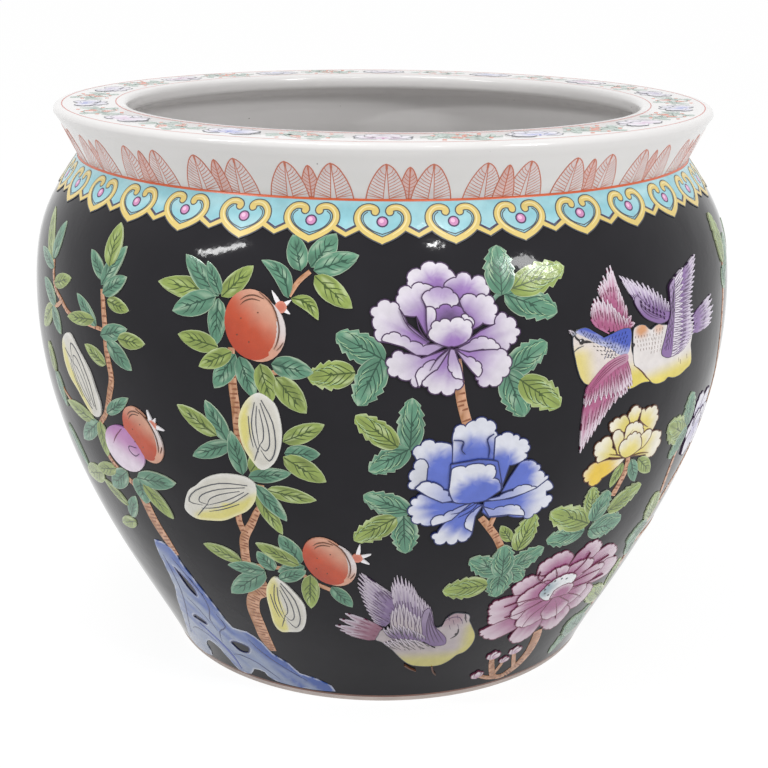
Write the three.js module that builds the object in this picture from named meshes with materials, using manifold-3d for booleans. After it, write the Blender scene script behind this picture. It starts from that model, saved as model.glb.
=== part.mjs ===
// A glazed porcelain fish bowl with raised enamel fruit trees, peonies, a garden rock and songbirds.
// Millimetres, +Z up, the origin at the middle of the foot, the front of the bowl towards -Y.

import * as THREE from 'three';
import { mergeVertices } from 'three/addons/utils/BufferGeometryUtils.js';
import { TessellateModifier } from 'three/addons/modifiers/TessellateModifier.js';
import Module from 'manifold-3d';

const wasm = await Module();
wasm.setup();

// Sizes of the porcelain body
const bowlHeight = 322.3;
const bellyHeight = 210;
const bellyRadius = 204;
const footRadius = 129.6;
const footRingWidth = 13;
const footRecess = 8;
const wallThickness = 9;
const floorThickness = 12;
const floorRound = 14;

// The neck comes in from the belly, flares out again and ends in a rounded lip and a broad flat rim
const shoulderInset = 27.8;
const neckFlare = 9.8;
const neckRise = 20.6;
const lipBulge = 2.8;
const lipRise = 4.3;
const lipRound = 3.6;
const rimRise = 3.8;
const rimWidth = 37.2;
const rimThickness = 10;
const rimRound = 2.6;

// The radii and heights that follow
const neckRadius = bellyRadius - shoulderInset;
const lipUnderRadius = neckRadius + neckFlare;
const lipRadius = lipUnderRadius + lipBulge;
const rimEdgeRadius = lipRadius - lipRound;
const mouthRadius = rimEdgeRadius - rimWidth;
const lipHeight = bowlHeight - rimRise;
const lipUnderHeight = lipHeight - lipRise;
const neckHeight = lipUnderHeight - neckRise;

// How the curve of the wall leaves the foot, passes the belly and comes in to the neck
const footHandleShare = 0.1886;
const footLeanShare = 0.445;
const bellyHandleBelowShare = 0.43;
const bellyHandleAboveShare = 0.548;
const neckHandleShare = 0.3086;
const neckLeanShare = 0.732;

// The raised enamel: its thickness, its seat on the glaze and the line between two colours
const reliefThickness = 1.2;
const seatGap = 0.75;
const colourGap = 0.35;
const cutOverrun = 1;
const longestEdge = 24;

// The collar of ruyi heads under the neck
const collarThickness = 1;
const collarDrop = 1.6;
const collarTipRun = 21;
const collarNotchRun = 14;
const collarSpikeRun = 18.4;
const collarNotchShare = 0.34;
const collarSpikeShare = 0.5;

// Counts
const bodySides = 52;
const wallSteps = 12;
const innerSteps = 7;
const lipSteps = 3;
const ruyiHeads = 34;
const fruitSides = 12;
const leafSteps = 3;
const petalSteps = 3;
const halvingSteps = 8;

// The outer wall, from the foot to the neck, as a radius and a height
const footPoint = new THREE.Vector2(footRadius, 0);
const bellyPoint = new THREE.Vector2(bellyRadius, bellyHeight);
const neckPoint = new THREE.Vector2(neckRadius, neckHeight);
const footHandle = bellyHeight * footHandleShare;
const shoulderHeight = neckHeight - bellyHeight;
const neckHandle = shoulderHeight * neckHandleShare;
const wall = new THREE.CurvePath();
wall.add(new THREE.CubicBezierCurve(
  footPoint,
  new THREE.Vector2(footRadius + footHandle * footLeanShare, footHandle),
  new THREE.Vector2(bellyRadius, bellyHeight - bellyHeight * bellyHandleBelowShare),
  bellyPoint,
));
wall.add(new THREE.CubicBezierCurve(
  bellyPoint,
  new THREE.Vector2(bellyRadius, bellyHeight + shoulderHeight * bellyHandleAboveShare),
  new THREE.Vector2(neckRadius + neckHandle * neckLeanShare, neckHeight - neckHandle),
  neckPoint,
));
const wallRun = wall.getLength();

// The point of the wall at a share of its run, moved out along its own normal
function wallPoint(share, lift) {
  const point = wall.getPointAt(THREE.MathUtils.clamp(share, 0, 1));
  const tangent = wall.getTangentAt(THREE.MathUtils.clamp(share, 0, 1));
  return new THREE.Vector2(point.x + tangent.y * lift, point.y - tangent.x * lift);
}

// A place on the wall in space: azimuth 0 is the front, and it grows towards +X
function onWall(degree, share, lift) {
  const point = wallPoint(share, lift);
  const angle = THREE.MathUtils.degToRad(degree);
  return new THREE.Vector3(point.x * Math.sin(angle), -point.x * Math.cos(angle), point.y);
}

// The enamel is drawn on a flat sheet: degrees across, and rows that share out the wall's run
const rowShare = 1 / 316;
const rowsOfDegreeShare = 3.5627;
const rowRun = wallRun * rowShare;
const degreeRun = rowRun * rowsOfDegreeShare;

function sheetPoint(degree, row) {
  return new THREE.Vector2(degree * degreeRun, row * rowRun);
}

// How much narrower a degree is at this row than at the belly
function narrowing(row) {
  return wallPoint(row * rowShare, 0).x / bellyRadius;
}

// A step on the sheet that keeps its true length on the wall
function sheetStep(along, across, row) {
  return new THREE.Vector2(along / narrowing(row), across);
}

// The true direction from one sheet place to another, and the way beside it
function courseOf(from, to, row) {
  const course = to.clone().sub(from);
  course.x *= narrowing(row);
  return course.normalize();
}

function besideOf(course, distance, row) {
  return sheetStep(-course.y * distance, course.x * distance, row);
}

// A pointed leaf or feather from its stalk to its tip: [degree, row, degree, row, width]
function leafShape([degree, row, tipDegree, tipRow, width]) {
  const stalk = sheetPoint(degree, row);
  const tip = sheetPoint(tipDegree, tipRow);
  const middleRow = (row + tipRow) / 2;
  const middle = stalk.clone().lerp(tip, 0.5);
  const side = besideOf(courseOf(stalk, tip, middleRow), width * rowRun, middleRow);
  const left = middle.clone().add(side);
  const right = middle.clone().sub(side);
  const shape = new THREE.Shape();
  shape.moveTo(stalk.x, stalk.y);
  shape.quadraticCurveTo(left.x, left.y, tip.x, tip.y);
  shape.quadraticCurveTo(right.x, right.y, stalk.x, stalk.y);
  return { shape, steps: leafSteps };
}

// A petal or lobe with a broad round end, in the same five numbers
function lobeShape([degree, row, tipDegree, tipRow, width]) {
  const stalk = sheetPoint(degree, row);
  const tip = sheetPoint(tipDegree, tipRow);
  const middleRow = (row + tipRow) / 2;
  const spreadShare = 2 / 3;
  const shoulderShare = 0.35;
  const side = besideOf(courseOf(stalk, tip, middleRow), width * rowRun * spreadShare, middleRow);
  const shoulder = stalk.clone().lerp(tip, shoulderShare);
  const shape = new THREE.Shape();
  shape.moveTo(stalk.x, stalk.y);
  shape.bezierCurveTo(shoulder.x + side.x, shoulder.y + side.y, tip.x + side.x, tip.y + side.y, tip.x, tip.y);
  shape.bezierCurveTo(tip.x - side.x, tip.y - side.y, shoulder.x - side.x, shoulder.y - side.y, stalk.x, stalk.y);
  return { shape, steps: petalSteps };
}

// A round or oval fruit: [degree, row, half width, half height, tilt in degrees]
function ovalShape([degree, row, halfWidth, halfHeight, tilt]) {
  const centre = sheetPoint(degree, row);
  const turn = THREE.MathUtils.degToRad(tilt);
  const points = [];
  for (let side = 0; side < fruitSides; side += 1) {
    const angle = (2 * Math.PI * side) / fruitSides;
    const spot = new THREE.Vector2(halfWidth * Math.cos(angle), halfHeight * Math.sin(angle));
    spot.rotateAround(new THREE.Vector2(), turn).multiplyScalar(rowRun);
    points.push(centre.clone().add(sheetStep(spot.x, spot.y, row)));
  }
  return { shape: new THREE.Shape(points), steps: 1 };
}

// A branch, trunk or tail along its places: [degree, row, width] each
function branchShape(places) {
  const points = places.map(([degree, row]) => sheetPoint(degree, row));
  const left = [];
  const right = [];
  places.forEach(([, row, width], index) => {
    const before = points[Math.max(index - 1, 0)];
    const after = points[Math.min(index + 1, points.length - 1)];
    const side = besideOf(courseOf(before, after, row), (width * rowRun) / 2, row);
    left.push(points[index].clone().add(side));
    right.unshift(points[index].clone().sub(side));
  });
  return { shape: new THREE.Shape([...left, ...right]), steps: 1 };
}

// An outline through its places, with holes
function outlineShape({ edgeShares, holeShares = [] }) {
  const toPoints = (places) => places.map(([degree, row]) => sheetPoint(degree, row));
  const shape = new THREE.Shape(toPoints(edgeShares));
  shape.holes = holeShares.map((places) => new THREE.Path(toPoints(places)));
  return { shape, steps: 1 };
}

// Each motif by the places of its pieces, in degrees and rows of the sheet
const rockShares = {
  outlines: [{
    edgeShares: [
      [-43.3, 110], [-44, 92], [-44.8, 72], [-47, 60], [-50, 42], [-53.5, 26], [-58, 6],
      [-47.8, 6], [-47, 18], [-44, 25.5], [-41, 21], [-38, 6],
      [-33.6, 6], [-31.6, 13], [-28.6, 13], [-26, 7], [-10.5, 7],
      [-14.5, 17], [-18.5, 20], [-20.5, 28], [-24, 35], [-25.5, 44], [-28.5, 51], [-32, 51],
      [-33.5, 62], [-35, 76], [-38, 98], [-39, 108],
    ],
    holeShares: [
      [[-41, 92], [-39.4, 86], [-38, 78], [-38.4, 71], [-40, 77]],
      [[-44.6, 46], [-43, 49.5], [-40.5, 46.5], [-41, 43.5]],
      [[-35.2, 34], [-33.6, 37], [-30, 35.5], [-31, 29], [-33.6, 28]],
    ],
  }],
};

const leftTreeShares = {
  branches: [
    [
      [-44.3, 257, 4], [-43.4, 240, 4.2], [-42.8, 222, 4.4], [-43.4, 203, 4.4], [-44.6, 194, 3.4], [-45.7, 188, 3],
      [-47.2, 182.4, 3], [-48.5, 177, 3], [-48.3, 164, 3], [-46.2, 155, 3.4], [-41.6, 147, 4],
    ],
    [[-41.9, 152, 7], [-40.8, 128, 7], [-39.4, 114, 7]],
    [[-43, 236, 2.6], [-53.5, 238, 2.6], [-56.4, 243, 2.6], [-59.4, 249, 2.6], [-60.6, 262, 2.6]],
    [[-56, 243.4, 2.6], [-59.8, 237, 2.6], [-60.4, 240, 2.6]],
  ],
  leaves: [
    [-43, 269, -43.6, 292, 12], [-44.2, 253, -48.6, 275, 9], [-43.8, 258, -40.4, 281, 10], [-44, 255, -39, 266, 9],
    [-44, 252, -38.2, 249, 8], [-44.5, 237, -50.6, 251, 9], [-43.4, 233, -35, 235, 12], [-43.2, 233, -37.8, 218, 10],
    [-43, 218, -48.8, 225, 8], [-45, 190, -39.2, 203, 7], [-47.6, 181, -58.6, 184, 9], [-48, 179, -55.6, 164, 9],
    [-45, 154.5, -54, 146, 8], [-43.4, 154, -50, 139, 11], [-41.4, 148, -35.2, 133, 10], [-41.6, 149, -32.4, 158, 11],
    [-49, 141, -61, 136, 12], [-49, 143, -48, 119, 12], [-60.2, 256, -68.4, 287, 11], [-60.2, 258, -59.4, 284, 11],
    [-59, 249, -53.2, 257, 8], [-59.6, 238, -64.6, 250, 10], [-60, 239, -66, 222, 9],
  ],
};
const leftCitronShares = { ovals: [[-51.6, 206, 11, 23, 17]] };
const peachShares = { ovals: [[-42.4, 171.6, 16.2, 13.6, 12]] };
const leftPomegranateShares = {
  ovals: [[-37.2, 183.5, 12.6, 15.4, 18]],
  leaves: [[-36.4, 190, -35.4, 200, 5], [-36, 189, -32.8, 191, 5]],
};

const fruitTreeShares = {
  branches: [
    [
      [-20.4, 239, 4], [-20.4, 222, 4.5], [-20.6, 205, 4], [-20.2, 190, 4], [-19.6, 178, 4], [-17.5, 172, 4],
      [-17.2, 164, 3.6], [-17.8, 156, 3.6], [-20.2, 142, 4.4], [-22.2, 122, 5.4], [-22.4, 98, 6], [-24, 86, 7],
      [-24.4, 66, 7.6], [-23.6, 40, 7.6],
    ],
    [[-20.8, 229.6, 3], [-14.6, 228.6, 3], [-11.6, 231, 3]],
    [[-21.8, 150, 3.4], [-21.4, 134, 4]],
    [[-22, 112, 3], [-14.4, 113, 3], [-12.8, 106, 3], [-10.6, 100.6, 3], [-7.4, 99, 3]],
    [[-17.6, 171, 3], [-14.4, 177, 3], [-13.2, 184, 3], [-13, 191, 3]],
  ],
  leaves: [
    [-22, 237, -29, 243, 10], [-20.6, 236, -25.6, 228.5, 9], [-20.6, 236, -23.3, 218.5, 11],
    [-19, 232, -17.4, 215, 9], [-15.4, 231, -14.8, 214.5, 9], [-14.6, 229, -10, 210.5, 11],
    [-22.6, 264, -22.6, 234, 10], [-22.6, 261, -29.2, 282, 10], [-22, 263, -33, 267, 11], [-22.6, 264, -30.2, 253, 12],
    [-22.6, 261, -18, 280.5, 9],
    [-20.2, 190, -29.6, 206.5, 9], [-20.2, 189, -24.9, 211.5, 10], [-20, 190, -28, 179, 9],
    [-17.4, 167, -9.2, 162, 9], [-17.4, 166, -14, 147.5, 9],
    [-13.2, 190, -7.6, 205, 10], [-13.4, 186, -7.6, 174, 11],
    [-22.4, 114, -30.2, 121, 9.5], [-21.4, 110, -20.6, 123, 8], [-14.2, 112, -18.8, 130, 10],
    [-14.2, 112, -15.6, 137.5, 10], [-21.4, 108, -27.9, 85.5, 12],
    [-12.8, 106, -12.4, 84.5, 9], [-8, 100, -4.6, 87.5, 8],
  ],
};
const topSprayShares = {
  branches: [[[-10.2, 278, 2.8], [-12.4, 268, 2.8]]],
  leaves: [
    [-10.2, 276, -13, 291, 9], [-10.2, 277, -7.4, 293.4, 12], [-10.2, 278, -3.2, 287.5, 11],
    [-10.6, 278, -4, 262.5, 10], [-12.2, 268, -14.6, 283, 7], [-11.8, 269, -8.4, 257, 7],
  ],
};
const upperPomegranateShares = {
  ovals: [[-17.1, 251.4, 15.4, 17, 12]],
  leaves: [[-14.6, 260, -14.9, 269, 5], [-14.6, 260, -12.4, 264.5, 5], [-14.4, 260, -12, 258.4, 5]],
};
const lowerPomegranateShares = {
  ovals: [[-7.9, 121, 13, 16.9, 12]],
  leaves: [[-5, 126, -3, 135.5, 5], [-5, 126, -1.2, 128.4, 5], [-5, 126, -1.5, 121.4, 5]],
};
const upperCitronShares = { ovals: [[-16.7, 198, 10.4, 22, 4]] };
const middleCitronShares = { ovals: [[-25, 156.4, 27, 11.8, 34]] };
const lowerCitronShares = { ovals: [[-17.1, 83, 10.6, 23.4, -2]] };

// Peonies as petals round a heart
const lilacPeonyShares = {
  lobes: [
    [8.4, 256, 6.9, 285, 23], [9.4, 256, 12.9, 280, 21], [10, 252, 16, 266, 20], [9, 248, 18.7, 251, 22],
    [9.4, 250, 16.6, 226, 25], [9.2, 250, 8.6, 220.5, 22], [9, 250, 2, 231, 24], [9, 252, -1.4, 256, 26],
    [8, 254, 3, 276, 22],
  ],
  ovals: [[8.6, 253, 21, 19, 0]],
};
const bluePeonyShares = {
  lobes: [
    [13.6, 176, 12.8, 207.5, 24], [13, 174, 6.2, 197, 20], [14.4, 174, 19.8, 197, 24], [14, 170, 4.2, 179, 26],
    [14, 168, 4.4, 156, 24], [14, 168, 10.8, 132.5, 24], [14, 166, 26.6, 156, 26], [15, 168, 24.4, 173, 22],
    [15, 170, 21.8, 184, 18],
  ],
  ovals: [[13.2, 170, 25, 20, 0]],
};
const yellowPeonyShares = {
  lobes: [
    [40.2, 178, 39.8, 201.5, 18], [41, 178, 44.8, 198, 19], [39.4, 178, 35.2, 196, 19], [39.6, 178, 32.6, 182, 18],
    [40, 176, 32.4, 162.5, 16], [41, 176, 48.4, 175.5, 21], [41, 176, 47.4, 166.5, 15],
  ],
  ovals: [[40.3, 178.5, 15.5, 12.5, 0]],
};
const pinkPeonyShares = {
  lobes: [
    [35, 88, 31.6, 116, 23], [36, 88, 39.8, 116, 22], [36.6, 86, 46.8, 104, 23], [37, 84, 53, 82, 25],
    [37, 82, 48, 63, 25], [36.4, 80, 41.6, 47, 25], [35.4, 80, 31.6, 40.6, 25], [34.4, 82, 23, 52, 25],
    [34, 84, 21, 69, 22], [34, 86, 20.6, 84, 22], [34.4, 86, 25.4, 101, 22],
  ],
  ovals: [[35.4, 82, 26, 24, 0]],
};

// Peony leaves and branches
const leftPeonyLeafShares = {
  lobes: [[0.4, 236, -6, 250.5, 14], [0.6, 240, -3.2, 215.5, 15], [0.4, 237, -8.6, 230, 13]],
};
const middlePeonyLeafShares = {
  lobes: [[4.4, 192, -3.4, 210.5, 12], [4.2, 190, 3.8, 219, 13], [4.4, 192, -1.6, 180.5, 12]],
};
const lowerPeonyLeafShares = {
  lobes: [[4.6, 155, -2.4, 167, 13], [3.6, 153, -3.9, 138, 13], [3.4, 156, 4, 129, 13]],
};
const upperRightLeafShares = {
  branches: [[[14.6, 262, 2.6], [17, 269, 2.6]]],
  lobes: [[16.4, 266, 17, 291.5, 15], [16.6, 269, 26.4, 279, 15], [16.6, 269, 24.6, 256, 15]],
};
const rightLeafShares = {
  lobes: [[16.2, 230, 23, 243, 14], [17, 236, 19.8, 206.5, 15], [18, 228, 25.6, 209.5, 15]],
};
const peonyBranchShares = {
  branches: [
    [[15.2, 149, 3.6], [16.4, 143, 4], [18.6, 134, 4], [20.6, 118, 4]],
    [[17.2, 149, 3], [16.6, 142, 3]],
  ],
  leaves: [[20.4, 129, 18.7, 143, 6]],
  lobes: [
    [21, 112, 24, 148.5, 13], [21, 108, 14.6, 123, 14], [21, 106, 18.8, 128, 12], [21, 108, 27.8, 122.5, 14],
    [21, 112, 24.6, 102, 12], [20.6, 114, 21.4, 89.5, 15], [19, 101, 10.8, 99.5, 16],
  ],
};
const yellowPeonyLeafShares = {
  branches: [[[40.6, 172, 4], [40.8, 160, 4], [39.4, 144, 4]]],
  leaves: [[40.6, 168, 38.2, 153.5, 7], [40.8, 168, 44.4, 152, 8], [41.6, 170, 48.2, 154, 9]],
  lobes: [
    [37, 128, 27, 147, 17], [36.4, 130, 34.2, 157.5, 12], [36.6, 130, 38, 152.5, 14],
    [37, 127, 27.8, 127, 15], [35.6, 127, 44.8, 124.6, 17], [36.6, 128, 46.8, 147.5, 13],
  ],
};
const blossomBranchShares = {
  branches: [
    [[36.4, 46, 7], [37.4, 34, 7], [37.2, 22, 7], [35.4, 14, 6], [31.5, 8, 5], [28.6, 11, 4], [27.2, 20, 4], [26.3, 30, 4]],
    [[31.5, 8, 4], [27.6, 10, 4], [23.2, 18, 4]],
    [[34.4, 15, 3], [33.4, 22, 3], [32.2, 30, 3]],
    [[28.6, 12, 3], [30, 20, 3], [30.2, 25, 3]],
  ],
  ovals: [[26.3, 33, 4, 4.6, 0], [32.2, 32, 4, 4.6, 0], [30.2, 26, 3, 3.4, 0], [24, 16, 4, 3.4, 40]],
};

// Songbirds: body, head, wings and tail
const lowerBirdShares = {
  lobes: [[0.6, 60, 19.8, 52, 39]],
  ovals: [[14.6, 68.5, 8, 11, 0]],
  leaves: [[12.6, 50, -3.6, 115, 30], [13, 54, 4.4, 113, 26]],
  branches: [[[2, 60, 11], [-3, 67, 13], [-7.4, 75.6, 13]]],
};
const blueBirdShares = {
  ovals: [[32.2, 237, 17.6, 9.4, -6]],
  leaves: [
    [33, 243, 29.4, 219, 22], [30, 241, 26.2, 248.8, 6], [35, 240, 34.4, 276.5, 27],
    [35.6, 238, 29.6, 181.5, 22], [36, 238, 36, 204, 17],
  ],
};
const purpleBirdShares = {
  ovals: [[45.4, 223, 28, 14, 0], [40.6, 236, 12, 8, 0]],
  leaves: [[47, 227, 36, 270.5, 20], [48.4, 226, 55, 271.5, 28]],
  branches: [[[50, 230, 12], [55.6, 236, 9], [61, 240, 13]]],
};

// The flower and leaves where the front turns into the side
const sideFlowerShares = {
  lobes: [
    [63, 170, 61.6, 188, 15], [63, 170, 66.6, 186, 15], [63, 170, 69, 171, 15], [63, 170, 66.8, 155, 15],
    [63, 170, 61.4, 151, 15], [63, 170, 59.2, 163, 13],
  ],
};
const sideSprayShares = {
  branches: [
    [
      [56.8, 20, 5], [57.4, 60, 5], [58.6, 92, 5], [61, 120, 4.6], [66, 138, 4], [71, 158, 4], [71.6, 184, 4],
      [68.6, 215, 3.6], [68.4, 250, 3.6], [68.6, 266, 3],
    ],
    [[60, 112, 3.4], [57, 142, 3], [57, 170, 3]],
    [[71, 158, 4], [80, 180, 3.6], [86, 226, 3.4], [85, 250, 3]],
    [[58.6, 92, 4], [75, 92, 3.4], [91, 112, 3]],
  ],
  lobes: [
    [57.6, 166, 50, 181.5, 16], [57, 164, 56, 195, 14], [60.4, 112, 54.8, 132, 15], [59.4, 104, 52, 99, 14],
    [57.4, 48, 47, 68, 14], [57, 30, 47.4, 36, 19], [68.6, 256, 67, 288, 13], [68.6, 250, 74, 272, 12],
    [68.6, 236, 64.4, 252, 11],
  ],
  leaves: [
    [85, 246, 80, 276, 11], [85, 246, 90, 274, 11], [86, 224, 92.4, 210, 11],
    [90, 110, 96, 126, 11],
  ],
};

// Every motif of one half of the bowl. A motif further down the list lies under those that it names.
const motifs = [
  { name: 'scholar_rock', colour: 0x6d80c4, places: rockShares },
  { name: 'peach', colour: 0xc79ac0, places: peachShares },
  { name: 'pomegranate_left', colour: 0xd2603a, places: leftPomegranateShares, under: ['peach'] },
  { name: 'citron_left', colour: 0xe4dfb4, places: leftCitronShares },
  { name: 'pomegranate_upper', colour: 0xcf5433, places: upperPomegranateShares },
  { name: 'pomegranate_lower', colour: 0xcf5433, places: lowerPomegranateShares },
  { name: 'citron_upper', colour: 0xded9a8, places: upperCitronShares },
  { name: 'citron_middle', colour: 0xded9a8, places: middleCitronShares },
  { name: 'citron_lower', colour: 0xded9a8, places: lowerCitronShares },
  { name: 'lilac_peony', colour: 0xb9a3cf, places: lilacPeonyShares },
  { name: 'blue_peony', colour: 0x7f8fd2, places: bluePeonyShares },
  { name: 'yellow_peony', colour: 0xe8df9f, places: yellowPeonyShares },
  { name: 'pink_peony', colour: 0xb98aa6, places: pinkPeonyShares },
  { name: 'songbird_lower', colour: 0xc9c48b, places: lowerBirdShares, under: ['pomegranate_lower'] },
  { name: 'songbird_blue', colour: 0x6f7fd0, places: blueBirdShares },
  { name: 'songbird_purple', colour: 0x9a80ad, places: purpleBirdShares, under: ['songbird_blue'] },
  { name: 'side_flower', colour: 0xd5d2e4, places: sideFlowerShares },
  {
    name: 'left_tree', colour: 0x5d8b6b, places: leftTreeShares,
    under: ['scholar_rock', 'peach', 'pomegranate_left', 'citron_left'],
  },
  {
    name: 'fruit_tree', colour: 0x6c9256, places: fruitTreeShares,
    under: [
      'scholar_rock', 'pomegranate_left', 'pomegranate_upper', 'pomegranate_lower', 'citron_middle',
      'citron_lower', 'citron_upper', 'left_tree',
    ],
  },
  { name: 'pomegranate_spray', colour: 0x5d8b6b, places: topSprayShares, under: ['pomegranate_upper'] },
  {
    name: 'peony_leaves_left', colour: 0x5d8b6b, places: leftPeonyLeafShares,
    under: ['lilac_peony', 'fruit_tree'],
  },
  { name: 'peony_leaves_middle', colour: 0x7c9a54, places: middlePeonyLeafShares, under: ['blue_peony'] },
  { name: 'peony_leaves_lower', colour: 0x7c9a54, places: lowerPeonyLeafShares, under: ['blue_peony'] },
  { name: 'peony_leaves_top', colour: 0x7c9a54, places: upperRightLeafShares, under: ['lilac_peony'] },
  { name: 'peony_leaves_right', colour: 0x5d8b6b, places: rightLeafShares, under: ['lilac_peony'] },
  {
    name: 'peony_branch', colour: 0x5d8b6b, places: peonyBranchShares,
    under: ['blue_peony', 'pink_peony', 'songbird_lower'],
  },
  {
    name: 'yellow_peony_leaves', colour: 0x6c9256, places: yellowPeonyLeafShares,
    under: ['yellow_peony', 'pink_peony', 'peony_branch', 'blue_peony'],
  },
  {
    name: 'blossom_branch', colour: 0xb48f78, places: blossomBranchShares, under: ['pink_peony', 'songbird_lower'],
  },
  {
    name: 'side_spray', colour: 0x5d8b6b, places: sideSprayShares,
    under: ['side_flower', 'pink_peony', 'yellow_peony', 'yellow_peony_leaves', 'songbird_purple'],
  },
];

// The motifs that come again on the back, half a turn round. The others are on the front alone.
const backMotifs = [
  'scholar_rock', 'peach', 'pomegranate_left', 'citron_left', 'lilac_peony', 'blue_peony', 'pink_peony',
  'songbird_blue', 'side_flower', 'left_tree', 'peony_leaves_left', 'peony_leaves_middle', 'peony_leaves_lower',
  'peony_leaves_top', 'peony_leaves_right', 'peony_branch', 'blossom_branch', 'side_spray',
];

// All the shapes that one motif is drawn with
function motifShapes(places) {
  return [
    ...(places.outlines ?? []).map(outlineShape),
    ...(places.branches ?? []).map(branchShape),
    ...(places.leaves ?? []).map(leafShape),
    ...(places.lobes ?? []).map(lobeShape),
    ...(places.ovals ?? []).map(ovalShape),
  ];
}

// The same faces, with one shared corner wherever they meet
function welded(geometry) {
  geometry.deleteAttribute('normal');
  geometry.deleteAttribute('uv');
  return mergeVertices(geometry);
}

function toSolid(geometry) {
  const merged = welded(geometry);
  return new wasm.Manifold(new wasm.Mesh({
    numProp: 3,
    vertProperties: new Float32Array(merged.attributes.position.array),
    triVerts: new Uint32Array(merged.index.array),
  }));
}

function toGeometry(solid) {
  const mesh = solid.getMesh();
  const geometry = new THREE.BufferGeometry();
  geometry.setAttribute('position', new THREE.Float32BufferAttribute(mesh.vertProperties, mesh.numProp));
  geometry.setIndex([...mesh.triVerts]);
  return geometry;
}

function join(solids) {
  return solids.reduce((whole, solid) => whole.add(solid));
}

// The motif as a slab of the flat sheet
function motifSlab(places) {
  return join(motifShapes(places).map(({ shape, steps }) => toSolid(
    new THREE.ExtrudeGeometry(shape, { depth: reliefThickness, bevelEnabled: false, curveSegments: steps }),
  )));
}

// The same motif a little larger all round, to cut those that lie under it
function motifCutter(places) {
  const depth = reliefThickness + 2 * cutOverrun;
  return join(motifShapes(places).map(({ shape, steps }) => {
    const geometry = new THREE.ExtrudeGeometry(shape, {
      depth,
      curveSegments: steps,
      bevelEnabled: true,
      bevelThickness: 0,
      bevelSize: 0,
      bevelOffset: colourGap,
      bevelSegments: 0,
    });
    return toSolid(geometry.translate(0, 0, -cutOverrun));
  }));
}

// Lays a flat slab on the wall
function layOnWall(slab) {
  const geometry = new TessellateModifier(longestEdge, halvingSteps).modify(toGeometry(slab));
  const position = geometry.attributes.position;
  for (let index = 0; index < position.count; index += 1) {
    const degree = position.getX(index) / degreeRun;
    const share = position.getY(index) / wallRun;
    const spot = onWall(degree, share, seatGap + position.getZ(index));
    position.setXYZ(index, spot.x, spot.y, spot.z);
  }
  return geometry;
}

// Porcelain: one thrown body with a foot ring, a turned-out neck and a broad flat rim
function porcelainProfile() {
  const footInner = footRadius - footRingWidth;
  const throat = new THREE.Vector2(lipUnderRadius - 2 * wallThickness, lipUnderHeight - wallThickness);
  const outside = [];
  for (let step = 0; step <= wallSteps; step += 1) {
    outside.push(wallPoint(step / wallSteps, 0));
  }
  const lip = new THREE.QuadraticBezierCurve(
    new THREE.Vector2(lipRadius, lipHeight),
    new THREE.Vector2(lipRadius, bowlHeight),
    new THREE.Vector2(rimEdgeRadius, bowlHeight),
  );
  const inside = [];
  const floorHeight = footRecess + floorThickness;
  for (let step = innerSteps; step >= 1; step -= 1) {
    const point = wallPoint(step / innerSteps, -wallThickness);
    if (point.y > floorHeight + floorRound) inside.push(point);
  }
  const heel = inside[inside.length - 1];
  return [
    new THREE.Vector2(0, footRecess),
    new THREE.Vector2(footInner, footRecess),
    new THREE.Vector2(footInner, 0),
    ...outside,
    new THREE.Vector2(lipUnderRadius, lipUnderHeight),
    ...lip.getPoints(lipSteps),
    new THREE.Vector2(mouthRadius + rimRound, bowlHeight),
    new THREE.Vector2(mouthRadius, bowlHeight - rimRound),
    new THREE.Vector2(mouthRadius, bowlHeight - rimThickness + rimRound),
    new THREE.Vector2(mouthRadius + rimRound, bowlHeight - rimThickness),
    throat,
    ...inside,
    new THREE.Vector2(heel.x - floorRound, floorHeight),
    new THREE.Vector2(0, floorHeight),
  ];
}

function porcelainGeometry() {
  const geometry = new THREE.LatheGeometry(porcelainProfile(), bodySides);
  geometry.rotateX(Math.PI / 2);
  return geometry;
}

// The collar's lower edge through one repeat: tip, notch, spike and notch
const collarKnots = [
  { repeatShare: 0, run: collarTipRun },
  { repeatShare: collarNotchShare, run: collarNotchRun },
  { repeatShare: collarSpikeShare, run: collarSpikeRun },
  { repeatShare: 1 - collarNotchShare, run: collarNotchRun },
];

// The collar: a ring that hangs from the neck line in ruyi tips with small spikes between
function collarGeometry() {
  const corners = [[0, 0], [1, 0], [1, 0.5], [1, 1], [0, 1], [0, 0.5], [0, 0]];
  const section = corners.map(([out, up]) => new THREE.Vector2(1 + out, up));
  const geometry = new THREE.LatheGeometry(section, ruyiHeads * collarKnots.length);
  const position = geometry.attributes.position;
  const repeatDegrees = THREE.MathUtils.radToDeg(2 * Math.PI) / ruyiHeads;
  for (let index = 0; index < position.count; index += 1) {
    const turn = Math.floor(index / corners.length);
    const head = Math.floor(turn / collarKnots.length);
    const { repeatShare, run } = collarKnots[turn % collarKnots.length];
    const [out, up] = corners[index % corners.length];
    const share = 1 - THREE.MathUtils.lerp(run, collarDrop, up) / wallRun;
    const spot = onWall((head + repeatShare) * repeatDegrees, share, seatGap + out * collarThickness);
    position.setXYZ(index, spot.x, spot.y, spot.z);
  }
  return geometry;
}

function namedMesh(name, geometry, colour, roughness) {
  const surface = welded(geometry);
  surface.computeVertexNormals();
  const material = new THREE.MeshStandardMaterial({ color: colour, roughness, metalness: 0 });
  const mesh = new THREE.Mesh(surface, material);
  mesh.name = name;
  return mesh;
}

const bowl = new THREE.Group();
bowl.add(namedMesh('porcelain_body', porcelainGeometry(), 0x2b2b2d, 0.15));
bowl.add(namedMesh('ruyi_collar', collarGeometry(), 0x9fd3e2, 0.3));

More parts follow.
